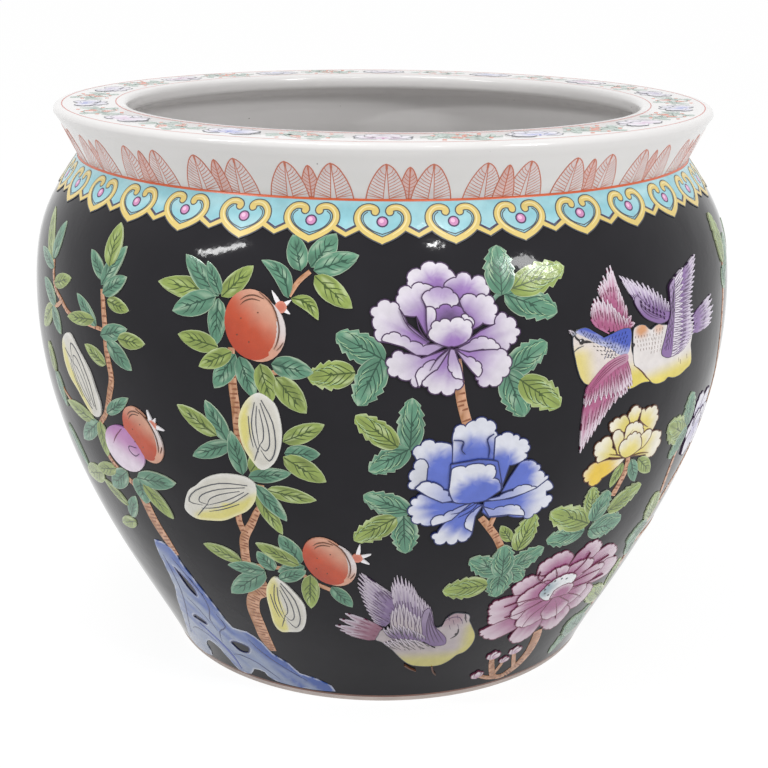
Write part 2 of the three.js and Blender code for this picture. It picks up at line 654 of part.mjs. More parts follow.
// The scene covers the front half, and a sparser one, half a turn round, covers the back
const halves = [{ side: 'front', turn: 0 }, { side: 'back', turn: Math.PI }];
const placesOf = new Map(motifs.map(({ name, places }) => [name, places]));
for (const { name, colour, places, under = [] } of motifs) {
  const covers = under.map((cover) => motifCutter(placesOf.get(cover)));
  const slab = covers.reduce((rest, cover) => rest.subtract(cover), motifSlab(places));
  const geometry = layOnWall(slab);
  for (const { side, turn } of halves) {
    if (side === 'back' && !backMotifs.includes(name)) continue;
    const mesh = namedMesh(`${name}_${side}`, geometry, colour, 0.3);
    mesh.rotation.z = turn;
    bowl.add(mesh);
  }
}

export default bowl;
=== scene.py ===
"""A glazed porcelain fish bowl with raised enamel fruit trees, peonies, a garden rock and songbirds."""

import math
from bisect import bisect_right

import bmesh
import bpy
from bpy.props import FloatProperty, FloatVectorProperty, PointerProperty
from mathutils import Color, Matrix, Vector, noise
from mathutils.geometry import interpolate_bezier


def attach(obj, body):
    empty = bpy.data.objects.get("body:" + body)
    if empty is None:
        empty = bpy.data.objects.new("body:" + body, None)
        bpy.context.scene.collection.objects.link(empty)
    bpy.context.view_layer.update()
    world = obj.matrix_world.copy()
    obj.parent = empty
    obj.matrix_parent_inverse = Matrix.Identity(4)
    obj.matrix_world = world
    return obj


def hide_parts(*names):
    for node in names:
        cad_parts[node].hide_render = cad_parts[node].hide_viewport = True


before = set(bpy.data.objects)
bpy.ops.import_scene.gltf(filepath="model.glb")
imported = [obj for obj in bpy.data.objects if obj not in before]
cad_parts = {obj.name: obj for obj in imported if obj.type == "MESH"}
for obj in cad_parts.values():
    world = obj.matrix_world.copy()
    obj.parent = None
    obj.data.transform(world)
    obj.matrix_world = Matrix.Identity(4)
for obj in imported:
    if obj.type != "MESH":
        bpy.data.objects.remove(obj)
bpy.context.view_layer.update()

bl_info = {
    "name": "Painted Fish Bowl",
    "version": (1, 0, 0),
    "blender": (4, 5, 0),
    "location": "View3D > Sidebar > Fish Bowl",
    "description": "Builds a porcelain fish bowl with raised enamel flowers, fruit trees and songbirds",
    "category": "Object",
}

MM = 0.001

# The porcelain in millimetres, as radius and height
FOOT_RADIUS = 129.6
FOOT_INNER = 116.6
FOOT_RECESS = 8.0
BELLY = (204.0, 210.0)
NECK = (176.2, 293.6)
LIP_UNDER = (186.0, 314.2)
LIP = (188.8, 318.5)
RIM_EDGE = 185.2
RIM_TOP = 322.0
MOUTH = 148.0
ROUNDED = 2.6
# The handles of the curves from the foot to the belly, from there to the neck, and over the lip
LOWER_HANDLES = ((147.2, 39.6), (BELLY[0], 119.7))
UPPER_HANDLES = ((BELLY[0], 255.8), (195.1, 267.8))
LIP_HANDLES = ((188.8, 320.9), (187.6, RIM_TOP))
CURVE_STEPS = (240, 120, 8)
TURNED_SIDES = 192
UNDERSIDE = (
    (0.0, FOOT_RECESS), (60.0, FOOT_RECESS), (112.0, FOOT_RECESS), (FOOT_INNER - 1, FOOT_RECESS - 1.4),
    (FOOT_INNER, 3.0), (FOOT_INNER + 0.8, 0.4), (FOOT_INNER + 2, 0.0), (123.0, 0.0),
)
INSIDE = (
    (MOUTH + ROUNDED, RIM_TOP), (148.8, 321.2), (MOUTH, 319.4), (MOUTH, 314.9), (148.8, 313.1),
    (150.6, 312.3), (158.0, 309.4), (165.0, 306.6), (168.0, 304.6), (168.6, 300.0), (168.9, 288.3),
    (177.6, 275.0), (184.6, 263.0), (190.2, 250.0), (194.0, 232.0), (195.0, 210.2), (194.2, 188.0),
    (190.8, 167.1), (186.0, 146.0), (179.3, 124.9), (171.4, 104.5), (162.6, 84.0), (152.6, 64.0),
    (142.4, 44.3), (138.4, 34.0), (133.0, 25.0), (126.0, 21.0), (116.0, 20.0), (60.0, 20.0), (0.0, 20.0),
)

# The sheet that the enamels are drawn on: degrees across, and this many rows from the foot to the neck
NECK_ROW = 316.0
COLLAR_TOP_ROW = 315.0
ORANGE_LINE_ROW = 315.7
LAPPET_FOOT_ROW = 316.6
COLLAR_HEADS = 34
LAPPET_GROUPS = 24
RIM_BLOSSOMS = 14
RIM_MIDDLE = 169.0
RIM_CIRCLES = (184.0, 154.0)
RIM_HEARTS = ("b77aa5", "7480c4", "c9a9c6", "7480c4", "9a8fb4")
# Half the width in degrees of a lappet, and the row of its tip
DARK_LAPPET = (1.9, 334.6)
PALE_LAPPET = (3.45, 336.2)
HEAD_CELLS = 18
# The width of a degree in the flat drawing of the rock, and where the crest of its outline starts
ROCK_SPREAD = 3
CREST_START = 32

# The drawing of leaves, boughs and petals
LEAF_TEETH = 5.5
LEAF_RIBS = 3
PEONY_LEAF_RIBS = 4
STALK_HALF = 0.1
VEIN = 0.5
BOUGH_STEPS = 5
RUNG_ENDS = ((-0.9, 0.9), (-0.9, 0.3), (-0.35, 0.9))
SCALLOP_STEPS = 5
BOLD_SCALLOP = 1.2

# Heights over the glaze in millimetres
SEAT_DEPTH = 0.4
LINE_RISE = 0.02
BOUGH_DROP = 0.1
BOUGH_STEP = 0.015
COLLAR_LIFT = 0.4
COLLAR_EDGE_LIFT = 0.32
POMEGRANATE_LIFT = 0.72
CITRON_LIFT = 0.85
PEACH_LIFT = 0.95
PLUMAGE_LIFT = 0.1
ROCK_LIFT = 0.3
ROCK_DOME = 0.25
ROCK_LINE_LEVEL = 0.62
MERGED = 1e-7

# The stage: the camera stands on the bowl's front axis, tipped down and a little askew like the photograph's
FLOOR_SIZE = 60.0
FLOOR_DROP = 0.0003
FLOOR_GLOW = 1.08
FLOOR_GLOW_SHARE = 0.85
WORLD_LIGHT = 0.6
CAMERA_PLACE = (0, -0.85, 0.41367)
CAMERA_LENS = 67.24
CAMERA_SHIFT = 0.0039
CAMERA_TIP = 0.30404
CAMERA_ROLL = 0.00864
LAMP_AIM = (0, 0, 0.2)
# Each lamp's name, place, width and height, turn in degrees and power
LAMPS = (
    ("left_window", (-0.98, -0.68, 1.06), (0.06, 0.36), -40, 4.5),
    ("overhead", (0.33, -0.95, 1.26), (0.06, 0.06), 0, 1.5),
    ("right_window", (0.96, -0.87, 0.92), (0.16, 0.34), 20, 6.0),
    ("ceiling", (-0.3, -0.25, 1.45), (0.4, 0.4), 0, 4.0),
)


def glaze(code):
    """A colour written as six hex digits, in linear light."""
    parts = [int(code[place:place + 2], 16) / 255 for place in (0, 2, 4)]
    return Vector(tuple(Color(parts).from_srgb_to_scene_linear()))


def mixed(first, second, share):
    """The colour or place between two, at a share of the way."""
    return Vector(first).lerp(Vector(second), min(max(share, 0.0), 1.0))


def eased(low, high, value):
    """From 0 at low to 1 at high, with soft ends."""
    share = min(max((value - low) / (high - low), 0.0), 1.0)
    return share * share * (3 - 2 * share)


def grain(*place):
    """Soft noise at a place, from -1 to 1."""
    return noise.noise(Vector(place))


def smoothed(places, fine, closed=False):
    """A smooth line through the places, with this many steps between each two."""
    points = [Vector(place) for place in places]
    count = len(points)
    line = []
    for index in range(count if closed else count - 1):
        reach = [index + offset for offset in (-1, 0, 1, 2)]
        if closed:
            before, start, end, after = (points[place % count] for place in reach)
        else:
            before, start, end, after = (points[min(max(place, 0), count - 1)] for place in reach)
        for step in range(fine):
            t = step / fine
            curve = start * 2 + (end - before) * t
            curve += (before * 2 - start * 5 + end * 4 - after) * t ** 2
            curve += (start * 3 - before - end * 3 + after) * t ** 3
            line.append(curve / 2)
    if not closed:
        line.append(points[-1])
    return line


def along(line, share):
    """The place at a share of a line of points."""
    spot = min(max(share, 0.0), 1.0) * (len(line) - 1)
    first = min(int(spot), len(line) - 2)
    return Vector(line[first]).lerp(Vector(line[first + 1]), spot - first)


class BowlPath:
    """The outside of the bowl from the foot up the wall, the neck and the lip, and in over the flat rim."""

    def __init__(self):
        spans = (
            ((FOOT_RADIUS, 0.0), *LOWER_HANDLES, BELLY),
            (BELLY, *UPPER_HANDLES, NECK),
            (LIP, *LIP_HANDLES, (RIM_EDGE, RIM_TOP)),
        )
        lower, upper, over = (
            interpolate_bezier(*(Vector(place) for place in span), steps)
            for span, steps in zip(spans, CURVE_STEPS)
        )
        inner = Vector((MOUTH + ROUNDED, RIM_TOP))
        wall = [*lower, *upper[1:]]
        self.lip = [Vector(LIP_UNDER), *over]
        self.points = [*wall, *self.lip, inner, Vector((MOUTH, RIM_TOP - ROUNDED))]
        runs = [0.0]
        for before, after in zip(self.points, self.points[1:]):
            runs.append(runs[-1] + (after - before).length)
        scale = NECK_ROW / runs[len(wall) - 1]
        self.rows = [run * scale for run in runs]
        last = len(self.points) - 1
        self.ways = [
            (self.points[min(index + 1, last)] - self.points[max(index - 1, 0)]).normalized()
            for index in range(last + 1)
        ]
        self.rim_row = self.rows[last - 2]

    def at(self, row):
        """The radius and height at this row, and the way up the wall there."""
        first = min(max(bisect_right(self.rows, row) - 1, 0), len(self.rows) - 2)
        share = (row - self.rows[first]) / (self.rows[first + 1] - self.rows[first])
        point = self.points[first].lerp(self.points[first + 1], share)
        return point, self.ways[first].lerp(self.ways[first + 1], share)

    def place(self, degree, row, lift):
        """The point of the bowl at a place of the sheet, moved out from the glaze."""
        point, way = self.at(row)
        radius = point.x + way.y * lift
        angle = math.radians(degree)
        return Vector((radius * math.sin(angle), -radius * math.cos(angle), point.y - way.x * lift)) * MM

    def degree_run(self, row):
        """How many millimetres a degree is at this row."""
        return self.at(row)[0].x * math.radians(1)

    def row_at_radius(self, radius):
        """The row of the flat rim at this radius."""
        return self.rim_row + RIM_EDGE - radius


PATH = BowlPath()


class Course:
    """The way from a base to a tip on the sheet, in true millimetres."""

    def __init__(self, base, tip, bend=0.0):
        self.base = base
        self.run = PATH.degree_run((base[1] + tip[1]) / 2)
        reach = Vector(((tip[0] - base[0]) * self.run, tip[1] - base[1]))
        self.length = reach.length
        self.ahead = reach.normalized()
        self.beside = Vector((self.ahead.y, -self.ahead.x))
        self.bend = bend

    def spot(self, share, side):
        """The place at a share of the way, and so many millimetres to its right."""
        curve = self.bend * 4 * share * (1 - share)
        reach = self.ahead * self.length * share + self.beside * (side + curve)
        return self.base[0] + reach.x / self.run, self.base[1] + reach.y


class Ribbon:
    """A smooth line through places of the sheet, each with its width in millimetres."""

    def __init__(self, places, fine):
        self.line = smoothed(places, fine)
        self.count = len(self.line) - 1

    def spot(self, share, side):
        """The place at a share of the length, and at a side from -1 to 1."""
        index = min(max(round(share * self.count), 0), self.count)
        degree, row, width = self.line[index]
        before = self.line[max(index - 1, 0)]
        after = self.line[min(index + 1, self.count)]
        run = PATH.degree_run(row)
        ahead = Vector(((after.x - before.x) * run, after.y - before.y)).normalized()
        return degree + ahead.y * side * width / 2 / run, row - ahead.x * side * width / 2


def strip_cells(shape, count, across):
    """A flat strip of cells: each corner with its share of the length, and its side from -1 to 1."""
    verts = bmesh.ops.create_grid(shape, x_segments=count, y_segments=across, size=0.5)["verts"]
    return [(vert, vert.co.x + 0.5, vert.co.y * 2) for vert in verts]


def disc_cells(shape, segments, rings):
    """A flat disc in rings: each corner with its share of the turn, and its distance from the middle."""
    ring = bmesh.ops.create_circle(shape, segments=segments, radius=1)["verts"]
    edges = list(dict.fromkeys(edge for vert in ring for edge in vert.link_edges))
    corners = list(ring)
    for step in range(1, rings):
        made = bmesh.ops.extrude_edge_only(shape, edges=edges)["geom"]
        ring = [item for item in made if isinstance(item, bmesh.types.BMVert)]
        edges = [item for item in made if isinstance(item, bmesh.types.BMEdge)]
        inward = (rings - step) / (rings - step + 1)
        bmesh.ops.scale(shape, vec=(inward, inward, 1), verts=ring)
        corners += ring
    bmesh.ops.holes_fill(shape, edges=edges, sides=0)
    return [(vert, math.atan2(vert.co.x, vert.co.y) / math.tau % 1, vert.co.length) for vert in corners]


def blank_patch():
    """An empty patch whose corners keep their tint and their seat on the glaze."""
    patch = bmesh.new()
    patch.verts.layers.float_color.new("tint")
    patch.verts.layers.float_vector.new("seat")
    return patch


def put(patch, vert, degree, row, lift, colour):
    """Puts a corner over a place of the bowl, with its tint and its seat in the glaze."""
    vert.co = PATH.place(degree, row, lift)
    vert[patch.verts.layers.float_vector["seat"]] = PATH.place(degree, row, -SEAT_DEPTH)
    vert[patch.verts.layers.float_color["tint"]] = (*colour, 1)


def lay(patch, cells, spot, lift, paint):
    """Moves a flat patch of cells onto the bowl, with sides down to the glaze, and closes it underneath."""
    for vert, first, second in cells:
        put(patch, vert, *spot(first, second), lift(first, second), paint(first, second))
    bmesh.ops.holes_fill(patch, edges=drop_sides(patch), sides=0)


def drop_sides(patch):
    """Sides from the border of a patch down to its seat. Gives back their lower edges."""
    seat = patch.verts.layers.float_vector["seat"]
    rim = [edge for edge in patch.edges if edge.is_boundary]
    sides = bmesh.ops.extrude_edge_only(patch, edges=rim)["geom"]
    for item in sides:
        if isinstance(item, bmesh.types.BMVert):
            item.co = item[seat]
    return [item for item in sides if isinstance(item, bmesh.types.BMEdge)]


def add_patch(whole, patch, material=0):
    """Adds a finished patch to the rest of the motif."""
    bmesh.ops.recalc_face_normals(patch, faces=patch.faces)
    for face in patch.faces:
        face.material_index = material
    scrap = bpy.data.meshes.new("scrap")
    patch.to_mesh(scrap)
    patch.free()
    whole.from_mesh(scrap)
    bpy.data.meshes.remove(scrap)


def add_piece(name, mesh, nodes=()):
    """A finished piece of the bowl, in place of the nodes that it stands for."""
    piece = bpy.data.objects.new(name, mesh)
    bpy.context.scene.collection.objects.link(piece)
    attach(piece, "root")
    if nodes:
        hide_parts(*nodes)
    return piece


def to_mesh(shape, name, materials, sharp=50.0):
    """The finished mesh, smooth but for the edges that turn by more than the sharp angle."""
    for face in shape.faces:
        face.smooth = True
    for edge in shape.edges:
        edge.smooth = edge.calc_face_angle(0.0) < math.radians(sharp)
    seat = shape.verts.layers.float_vector.get("seat")
    if seat:
        shape.verts.layers.float_vector.remove(seat)
    mesh = bpy.data.meshes.new(name)
    shape.to_mesh(mesh)
    shape.free()
    for material in materials:
        mesh.materials.append(material)
    return mesh


class Relief:
    """One enamel motif: its raised fields of colour, and the fine lines drawn on them."""

    def __init__(self, name, base, step=0.06, crown=0.03, cycle=8):
        self.name = name
        self.base, self.step, self.crown, self.cycle = base, step, crown, cycle
        self.order = -1
        self.level = base
        self.fields, self.lines = bmesh.new(), bmesh.new()
        self.inks = []

    def raise_level(self):
        """Steps up to the level of the next field, and down to the base again after a cycle."""
        self.order += 1
        self.level = self.base + self.step * (self.order % self.cycle)

    def field(self, spot, paint, count=8, across=6, under=False):
        """A field over a strip, from its share of the length and its side, or under all the others."""
        self.raise_level()
        if under:
            self.level = self.base - BOUGH_DROP + BOUGH_STEP * (self.order % 4)
        level, dome = self.level, self.crown
        patch = blank_patch()
        cells = strip_cells(patch, count, across)
        lay(patch, cells, spot, lambda s, t: level + dome * (1 - max(abs(t), abs(2 * s - 1)) ** 4), paint)
        add_patch(self.fields, patch)

    def disc(self, spot, paint, segments=32, rings=5, crown=None):
        """A field over a disc, from its share of the turn and its distance from the middle."""
        self.raise_level()
        level, dome = self.level, self.crown if crown is None else crown
        patch = blank_patch()
        cells = disc_cells(patch, segments, rings)
        lay(patch, cells, spot, lambda turn, far: level + dome * (1 - far ** 3), paint)
        add_patch(self.fields, patch)
        self.level += dome - self.crown

    def draw(self, cells_of, spot, ink, rise):
        """Lays a patch of one ink on top of the last field."""
        top = self.level + self.crown + rise
        patch = blank_patch()
        lay(patch, cells_of(patch), spot, lambda first, second: top, lambda first, second: (0, 0, 0))
        if ink not in self.inks:
            self.inks.append(ink)
        add_patch(self.lines, patch, self.inks.index(ink))

    def stroke(self, places, width, ink, fine=3, ends=(1.0, 1.0), rise=LINE_RISE):
        """A fine line of one ink through places, on top of the last field. The ends may thin out."""
        last = len(places) - 1
        sized = []
        for index, (degree, row) in enumerate(places):
            share = index / last
            thin = min(1, ends[0] + 4 * share) * min(1, ends[1] + 4 * (1 - share))
            sized.append((degree, row, width * thin))
        ribbon = Ribbon(sized, fine)
        self.draw(lambda patch: strip_cells(patch, ribbon.count, 1), ribbon.spot, ink, rise)

    def dot(self, centre, radius, ink, segments=10, rise=LINE_RISE):
        """A round dot of one ink."""
        spot = round_spot(centre, radius, radius, 0)
        self.draw(lambda patch: disc_cells(patch, segments, 1), spot, ink, rise)

    def finish(self, slot, back=False, node=None):
        """Makes the pieces on the front, and the same half a turn round on the back."""
        made = []
        if len(self.fields.faces):
            made.append(("enamel_", to_mesh(self.fields, self.name, [enamel()])))
        if len(self.lines.faces):
            made.append(("drawing_", to_mesh(self.lines, self.name, [ink_of(ink) for ink in self.inks])))
        for kind, mesh in made:
            for side in ("front", "back") if back else ("front",):
                if side == "back":
                    mesh = mesh.copy()
                    mesh.transform(Matrix.Rotation(math.pi, 4, "Z"))
                stands_for = node or f"{self.name}_{side}"
                nodes = [stands_for] if kind == "enamel_" and stands_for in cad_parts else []
                name = kind + self.name + ("" if node or stands_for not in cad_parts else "_" + side)
                add_piece(name, mesh, nodes)


# Inks, in plain constant colours, so that the finest lines stay crisp
INKS = {
    "black": "1f1a1c",
    "leaf_dark": "1f4a38",
    "leaf_pale": "a9c79c",
    "olive": "3d5218",
    "plum": "43294f",
    "navy": "1f2a63",
    "fold": "4153a6",
    "rose": "b0688f",
    "rose_dark": "6b2746",
    "umber": "5d3722",
    "chestnut": "8a5232",
    "iron_red": "b8452e",
    "lappet_red": "c06c52",
    "iron_pale": "d98f7c",
    "orange": "cf5a2c",
    "yellow": "dcc474",
    # A painted highlight on the collar's yellow bands
    "yellow_highlight": "eadba0",
    "slate": "474a52",
    "white": "ece9ec",
    "pink": "cf8cba",
    # A painted highlight on the collar's pink beads
    "pink_highlight": "efbfdc",
    "scroll": "a9b8b0",
}
INK_ROUGHNESS = 0.28
BLACK_GLAZE_INDEX = 1.22


def blank_material(name):
    """A new material with its node tree and its surface shader."""
    material = bpy.data.materials.new(name)
    material.use_nodes = True
    tree = material.node_tree
    return material, tree, tree.nodes["Principled BSDF"]


def ink_of(name):
    """The material of one ink."""
    title = f"ink_{name}"
    if title in bpy.data.materials:
        return bpy.data.materials[title]
    material, _, shader = blank_material(title)
    shader.inputs["Base Color"].default_value = (*glaze(INKS[name]), 1)
    shader.inputs["Roughness"].default_value = INK_ROUGHNESS
    return material


def add_node(tree, kind, **settings):
    """A node with its plain settings and the values of its sockets."""
    made = tree.nodes.new(kind)
    for name, value in settings.items():
        if name in made.inputs:
            made.inputs[name].default_value = value
        else:
            setattr(made, name, value)
    return made


def coordinates(tree):
    """The piece's own coordinates."""
    return add_node(tree, "ShaderNodeTexCoord").outputs["Object"]


def speckle(tree, scale, detail=3.0):
    """Soft noise over the piece's own coordinates."""
    made = add_node(tree, "ShaderNodeTexNoise", Scale=scale, Detail=detail)
    tree.links.new(coordinates(tree), made.inputs["Vector"])
    return made.outputs["Fac"]


def ranged(tree, value, low, high, start=0.0, end=1.0):
    """A value moved from one range to another."""
    made = add_node(tree, "ShaderNodeMapRange")
    for name, number in (("From Min", start), ("From Max", end), ("To Min", low), ("To Max", high)):
        made.inputs[name].default_value = number
    tree.links.new(value, made.inputs["Value"])
    return made.outputs["Result"]


def bumped(tree, shader, height, distance, strength=1.0):
    """A bump on the shader from a height, over the bumps that it has."""
    made = add_node(tree, "ShaderNodeBump", Strength=strength, Distance=distance)
    tree.links.new(height, made.inputs["Height"])
    if shader.inputs["Normal"].links:
        tree.links.new(shader.inputs["Normal"].links[0].from_socket, made.inputs["Normal"])
    tree.links.new(made.outputs["Normal"], shader.inputs["Normal"])


def blended(tree, share, first, second):
    """A colour between two by a share."""
    made = add_node(tree, "ShaderNodeMix", data_type="RGBA")
    tree.links.new(share, made.inputs[0])
    for socket, value in ((made.inputs[6], first), (made.inputs[7], second)):
        if isinstance(value, bpy.types.NodeSocket):
            tree.links.new(value, socket)
        else:
            socket.default_value = (*value, 1)
    return made.outputs[2]


def mottled(name, code, shade, cloud, gloss, bumps=()):
    """A glaze or bare clay, clouded with a darker shade and unevenly glossy, with soft bumps."""
    material, tree, shader = blank_material(name)
    colour = blended(tree, speckle(tree, *cloud), tuple(part * shade for part in code), code)
    tree.links.new(colour, shader.inputs["Base Color"])
    scale, low, high = gloss
    tree.links.new(ranged(tree, speckle(tree, scale), low, high), shader.inputs["Roughness"])
    for scale, detail, distance, strength in bumps:
        bumped(tree, shader, speckle(tree, scale, detail), distance, strength)
    return material, tree, shader


def enamel():
    """Raised overglaze enamel: its tint pools and thins, and brush marks stand in it."""
    if "raised_enamel" in bpy.data.materials:
        return bpy.data.materials["raised_enamel"]
    material, tree, shader = blank_material("raised_enamel")
    tint = add_node(tree, "ShaderNodeAttribute", attribute_name="tint").outputs["Color"]
    thin = add_node(tree, "ShaderNodeMix", data_type="RGBA", blend_type="MULTIPLY")
    thin.inputs[0].default_value = 1
    tree.links.new(tint, thin.inputs[6])
    pooled = blended(tree, speckle(tree, 160.0, 4.0), (0.8, 0.8, 0.8), (1.16, 1.16, 1.16))
    tree.links.new(pooled, thin.inputs[7])
    tree.links.new(thin.outputs[2], shader.inputs["Base Color"])
    tree.links.new(ranged(tree, speckle(tree, 220.0), 0.1, 0.26), shader.inputs["Roughness"])
    bumped(tree, shader, speckle(tree, 420.0), 0.0002, 0.5)
    bumped(tree, shader, speckle(tree, 90.0, 1.0), 0.0007, 0.5)
    return material


def black_glaze(code):
    """Deep black glaze, glossy and a little uneven. Its low index keeps white reflections off its edges, and
    its colour, lighter than the glaze's own black, holds a painted reflection in their place.
    """
    bumps = ((16.0, 2.0, 0.0022, 0.5), (260.0, 1.0, 0.0001, 0.5))
    material, _, shader = mottled("black_glaze", code, 0.6, (30.0,), (55.0, 0.04, 0.1), bumps)
    shader.inputs["IOR"].default_value = BLACK_GLAZE_INDEX
    return material


def white_glaze(code):
    """Clear glaze over white porcelain, with faint throwing rings and a few dark pinholes."""
    material, tree, shader = mottled("white_glaze", code, 0.93, (14.0,), (40.0, 0.1, 0.24))
    cells = add_node(tree, "ShaderNodeTexVoronoi", Scale=62.0)
    tree.links.new(coordinates(tree), cells.inputs["Vector"])
    pinhole = ranged(tree, cells.outputs["Distance"], 1.0, 0.0, 0.018, 0.032)
    clouded = shader.inputs["Base Color"].links[0].from_socket
    tree.links.new(blended(tree, pinhole, clouded, glaze("6f6a66")), shader.inputs["Base Color"])
    bands = {"wave_type": "BANDS", "bands_direction": "Z", "Scale": 26.0, "Distortion": 1.5}
    rings = add_node(tree, "ShaderNodeTexWave", **bands)
    tree.links.new(coordinates(tree), rings.inputs["Vector"])
    bumped(tree, shader, rings.outputs["Fac"], 0.0004, 0.3)
    bumped(tree, shader, speckle(tree, 22.0), 0.0012, 0.35)
    return material


def biscuit(code):
    """Unglazed porcelain of the foot ring, worn and a little stained."""
    bumps = ((900.0, 3.0, 0.0002, 0.5),)
    return mottled("foot_biscuit", code, 0.72, (90.0, 5.0), (300.0, 0.6, 0.9), bumps)[0]


def iron_line(code):
    """The thin brown edge where the black glaze ends over the foot."""
    return mottled("iron_brown_edge", code, 0.5, (120.0, 4.0), (200.0, 0.25, 0.5))[0]


def setting(label, about, code):
    """A colour that the user may change."""
    colour = tuple(glaze(code))
    return FloatVectorProperty(name=label, description=about, subtype="COLOR", min=0, max=1, default=colour)


class BowlColours(bpy.types.PropertyGroup):
    """The glazes and enamels."""

    # The black is partly a painted reflection: lighter than the glaze's own black, in place of the soft
    # reflection that its low index gives up
    black: setting("Black ground", "Glaze of the wall", "29282c")
    white: setting("White glaze", "Glaze of the neck, the rim and the inside", "e0dedd")
    biscuit: setting("Foot", "Unglazed porcelain of the foot ring", "dccfc8")
    brown_edge: setting("Brown edge", "Line where the black glaze ends", "8a5a48")
    leaf: setting("Blue-green leaf", "The cooler of the two leaf enamels", "5f9478")
    lime: setting("Yellow-green leaf", "The warmer of the two leaf enamels", "96ab55")
    bark: setting("Bark", "Trunks and twigs", "cc8850")
    lilac: setting("Lilac", "Heart of the lilac peony", "9470b0")
    lilac_pale: setting("Pale lilac", "Edge of the lilac peony", "dcd6df")
    blue: setting("Blue", "Heart of the blue peony", "586cc4")
    blue_pale: setting("Pale blue", "Edge of the blue peony", "d8dae4")
    # Both pink colours are partly painted shade: the peony's own pinks darkened, as the low front of the bowl
    # gets less light
    pink: setting("Pink", "Heart of the pink peony", "9c5482")
    pink_pale: setting("Pale pink", "Edge of the pink peony", "d4c2cd")
    cream: setting("Yellow", "Heart of the yellow peony", "e0d06e")
    cream_pale: setting("Cream", "Edge of the yellow peony", "e6e1d0")
    pomegranate: setting("Pomegranate", "Iron-red side of the fruit", "bc4927")
    pomegranate_pale: setting("Pale pomegranate", "Light side of the fruit", "d09c84")
    citron: setting("Citron yellow", "Yellow side of the citrons", "d9d07c")
    citron_pale: setting("Citron white", "White side of the citrons", "d2cfc5")
    # Both rock colours are partly painted shade: the rock's own blues darkened, as the low front of the bowl
    # gets less light
    rock: setting("Rock blue", "Edges of the garden rock", "3a5aa6")
    rock_pale: setting("Pale rock", "Faces of the garden rock", "8e9bb6")
    turquoise: setting("Turquoise", "Ground of the collar", "90c9d4")
    turquoise_pale: setting("Pale turquoise", "Thin places in the collar's ground", "b6dde2")


class BowlSizes(bpy.types.PropertyGroup):
    """Sizes that may be changed."""

    relief: FloatProperty(
        name="Relief", description="Height of the lowest enamel over the glaze",
        default=0.00035, min=0.0001, max=0.001, unit="LENGTH",
    )
    wash: FloatProperty(
        name="Wash", description="Share of the full tint in the wash of the lappets",
        default=0.35, min=0, max=1, subtype="FACTOR",
    )


def colours():
    """The colours of the settings."""
    return bpy.context.scene.fish_bowl_colours


def sizes():
    """The sizes of the settings."""
    return bpy.context.scene.fish_bowl_sizes


def tone(name):
    """A colour of the settings as a vector."""
    return Vector(getattr(colours(), name))


def relief_for(name, **options):
    """A new motif at the height of the settings."""
    return Relief(name, base=sizes().relief / MM, **options)


# Leaves

def blade(places, bend, fullness, teeth):
    """The outline of a leaf: a function from a share of its length and a side to a place."""
    degree, row, tip_degree, tip_row, width = places
    course = Course((degree, row), (tip_degree, tip_row), bend)
    low, high = fullness
    peak = low / (low + high)
    full = width / 2 / (peak ** low * (1 - peak) ** high)

    def spot(share, side):
        saw = 1 - (share * LEAF_TEETH + (0.4 if side > 0 else 0.0)) % 1
        wave = 1 + teeth * (saw - 0.6) * eased(0.3, 0.6, share)
        half = STALK_HALF + full * share ** low * (1 - share) ** high * wave
        return course.spot(share, math.sin(side * math.pi / 2) * half)

    return spot


def leaf_paint(places, green, dark_share):
    """The colour of a leaf: pooled and streaked inside, with a thin pale edge."""
    shade = tone(green)
    pale = mixed(shade, glaze("e3ead0"), 0.6)
    dark = shade * 0.4

    def paint(share, side):
        streak = grain(places[0] + share * 2.5, places[1] + side * 4.5, 0)
        colour = mixed(dark, shade, dark_share + 0.3 * share + 0.9 * streak)
        colour = mixed(colour, pale, 0.5 * eased(0.15, 0.5, streak))
        return mixed(colour, pale, 0.85 * (abs(side) > 0.95) + 0.4 * (share > 0.97))

    return paint


def leaf_ink(green):
    """The ink of the veins on one of the two greens."""
    return "leaf_dark" if green == "leaf" else "olive"


def leaf(relief, places, green, bend=0.0):
    """A pointed leaf from its stalk to its tip, with a midrib, side veins and dark blotches."""
    spot = blade(places, bend, (0.6, 0.8), 0.05)
    ink = leaf_ink(green)
    relief.field(spot, leaf_paint(places, green, 0.55), 10, 8)
    relief.stroke([spot(0.02, 0), spot(0.35, 0.02), spot(0.82, 0)], 0.6, ink, 3, (1, 0.2))
    for rib in range(LEAF_RIBS):
        start = 0.16 + 0.5 * rib / LEAF_RIBS
        for side in (-1, 1):
            start += 0.05
            line = [spot(start, 0), spot(start + 0.13, side * 0.3), spot(start + 0.24, side * 0.52)]
            relief.stroke(line, VEIN, ink, 1, (1, 0.2))
    for blot in (0.3, 0.56):
        blot += 0.16 * grain(places[2], places[3], 9 * blot)
        line = [spot(blot, -0.06), spot(blot + 0.07, 0.08), spot(blot + 0.13, 0.02)]
        relief.stroke(line, 1.25, ink, 1, (0.4, 0.2))


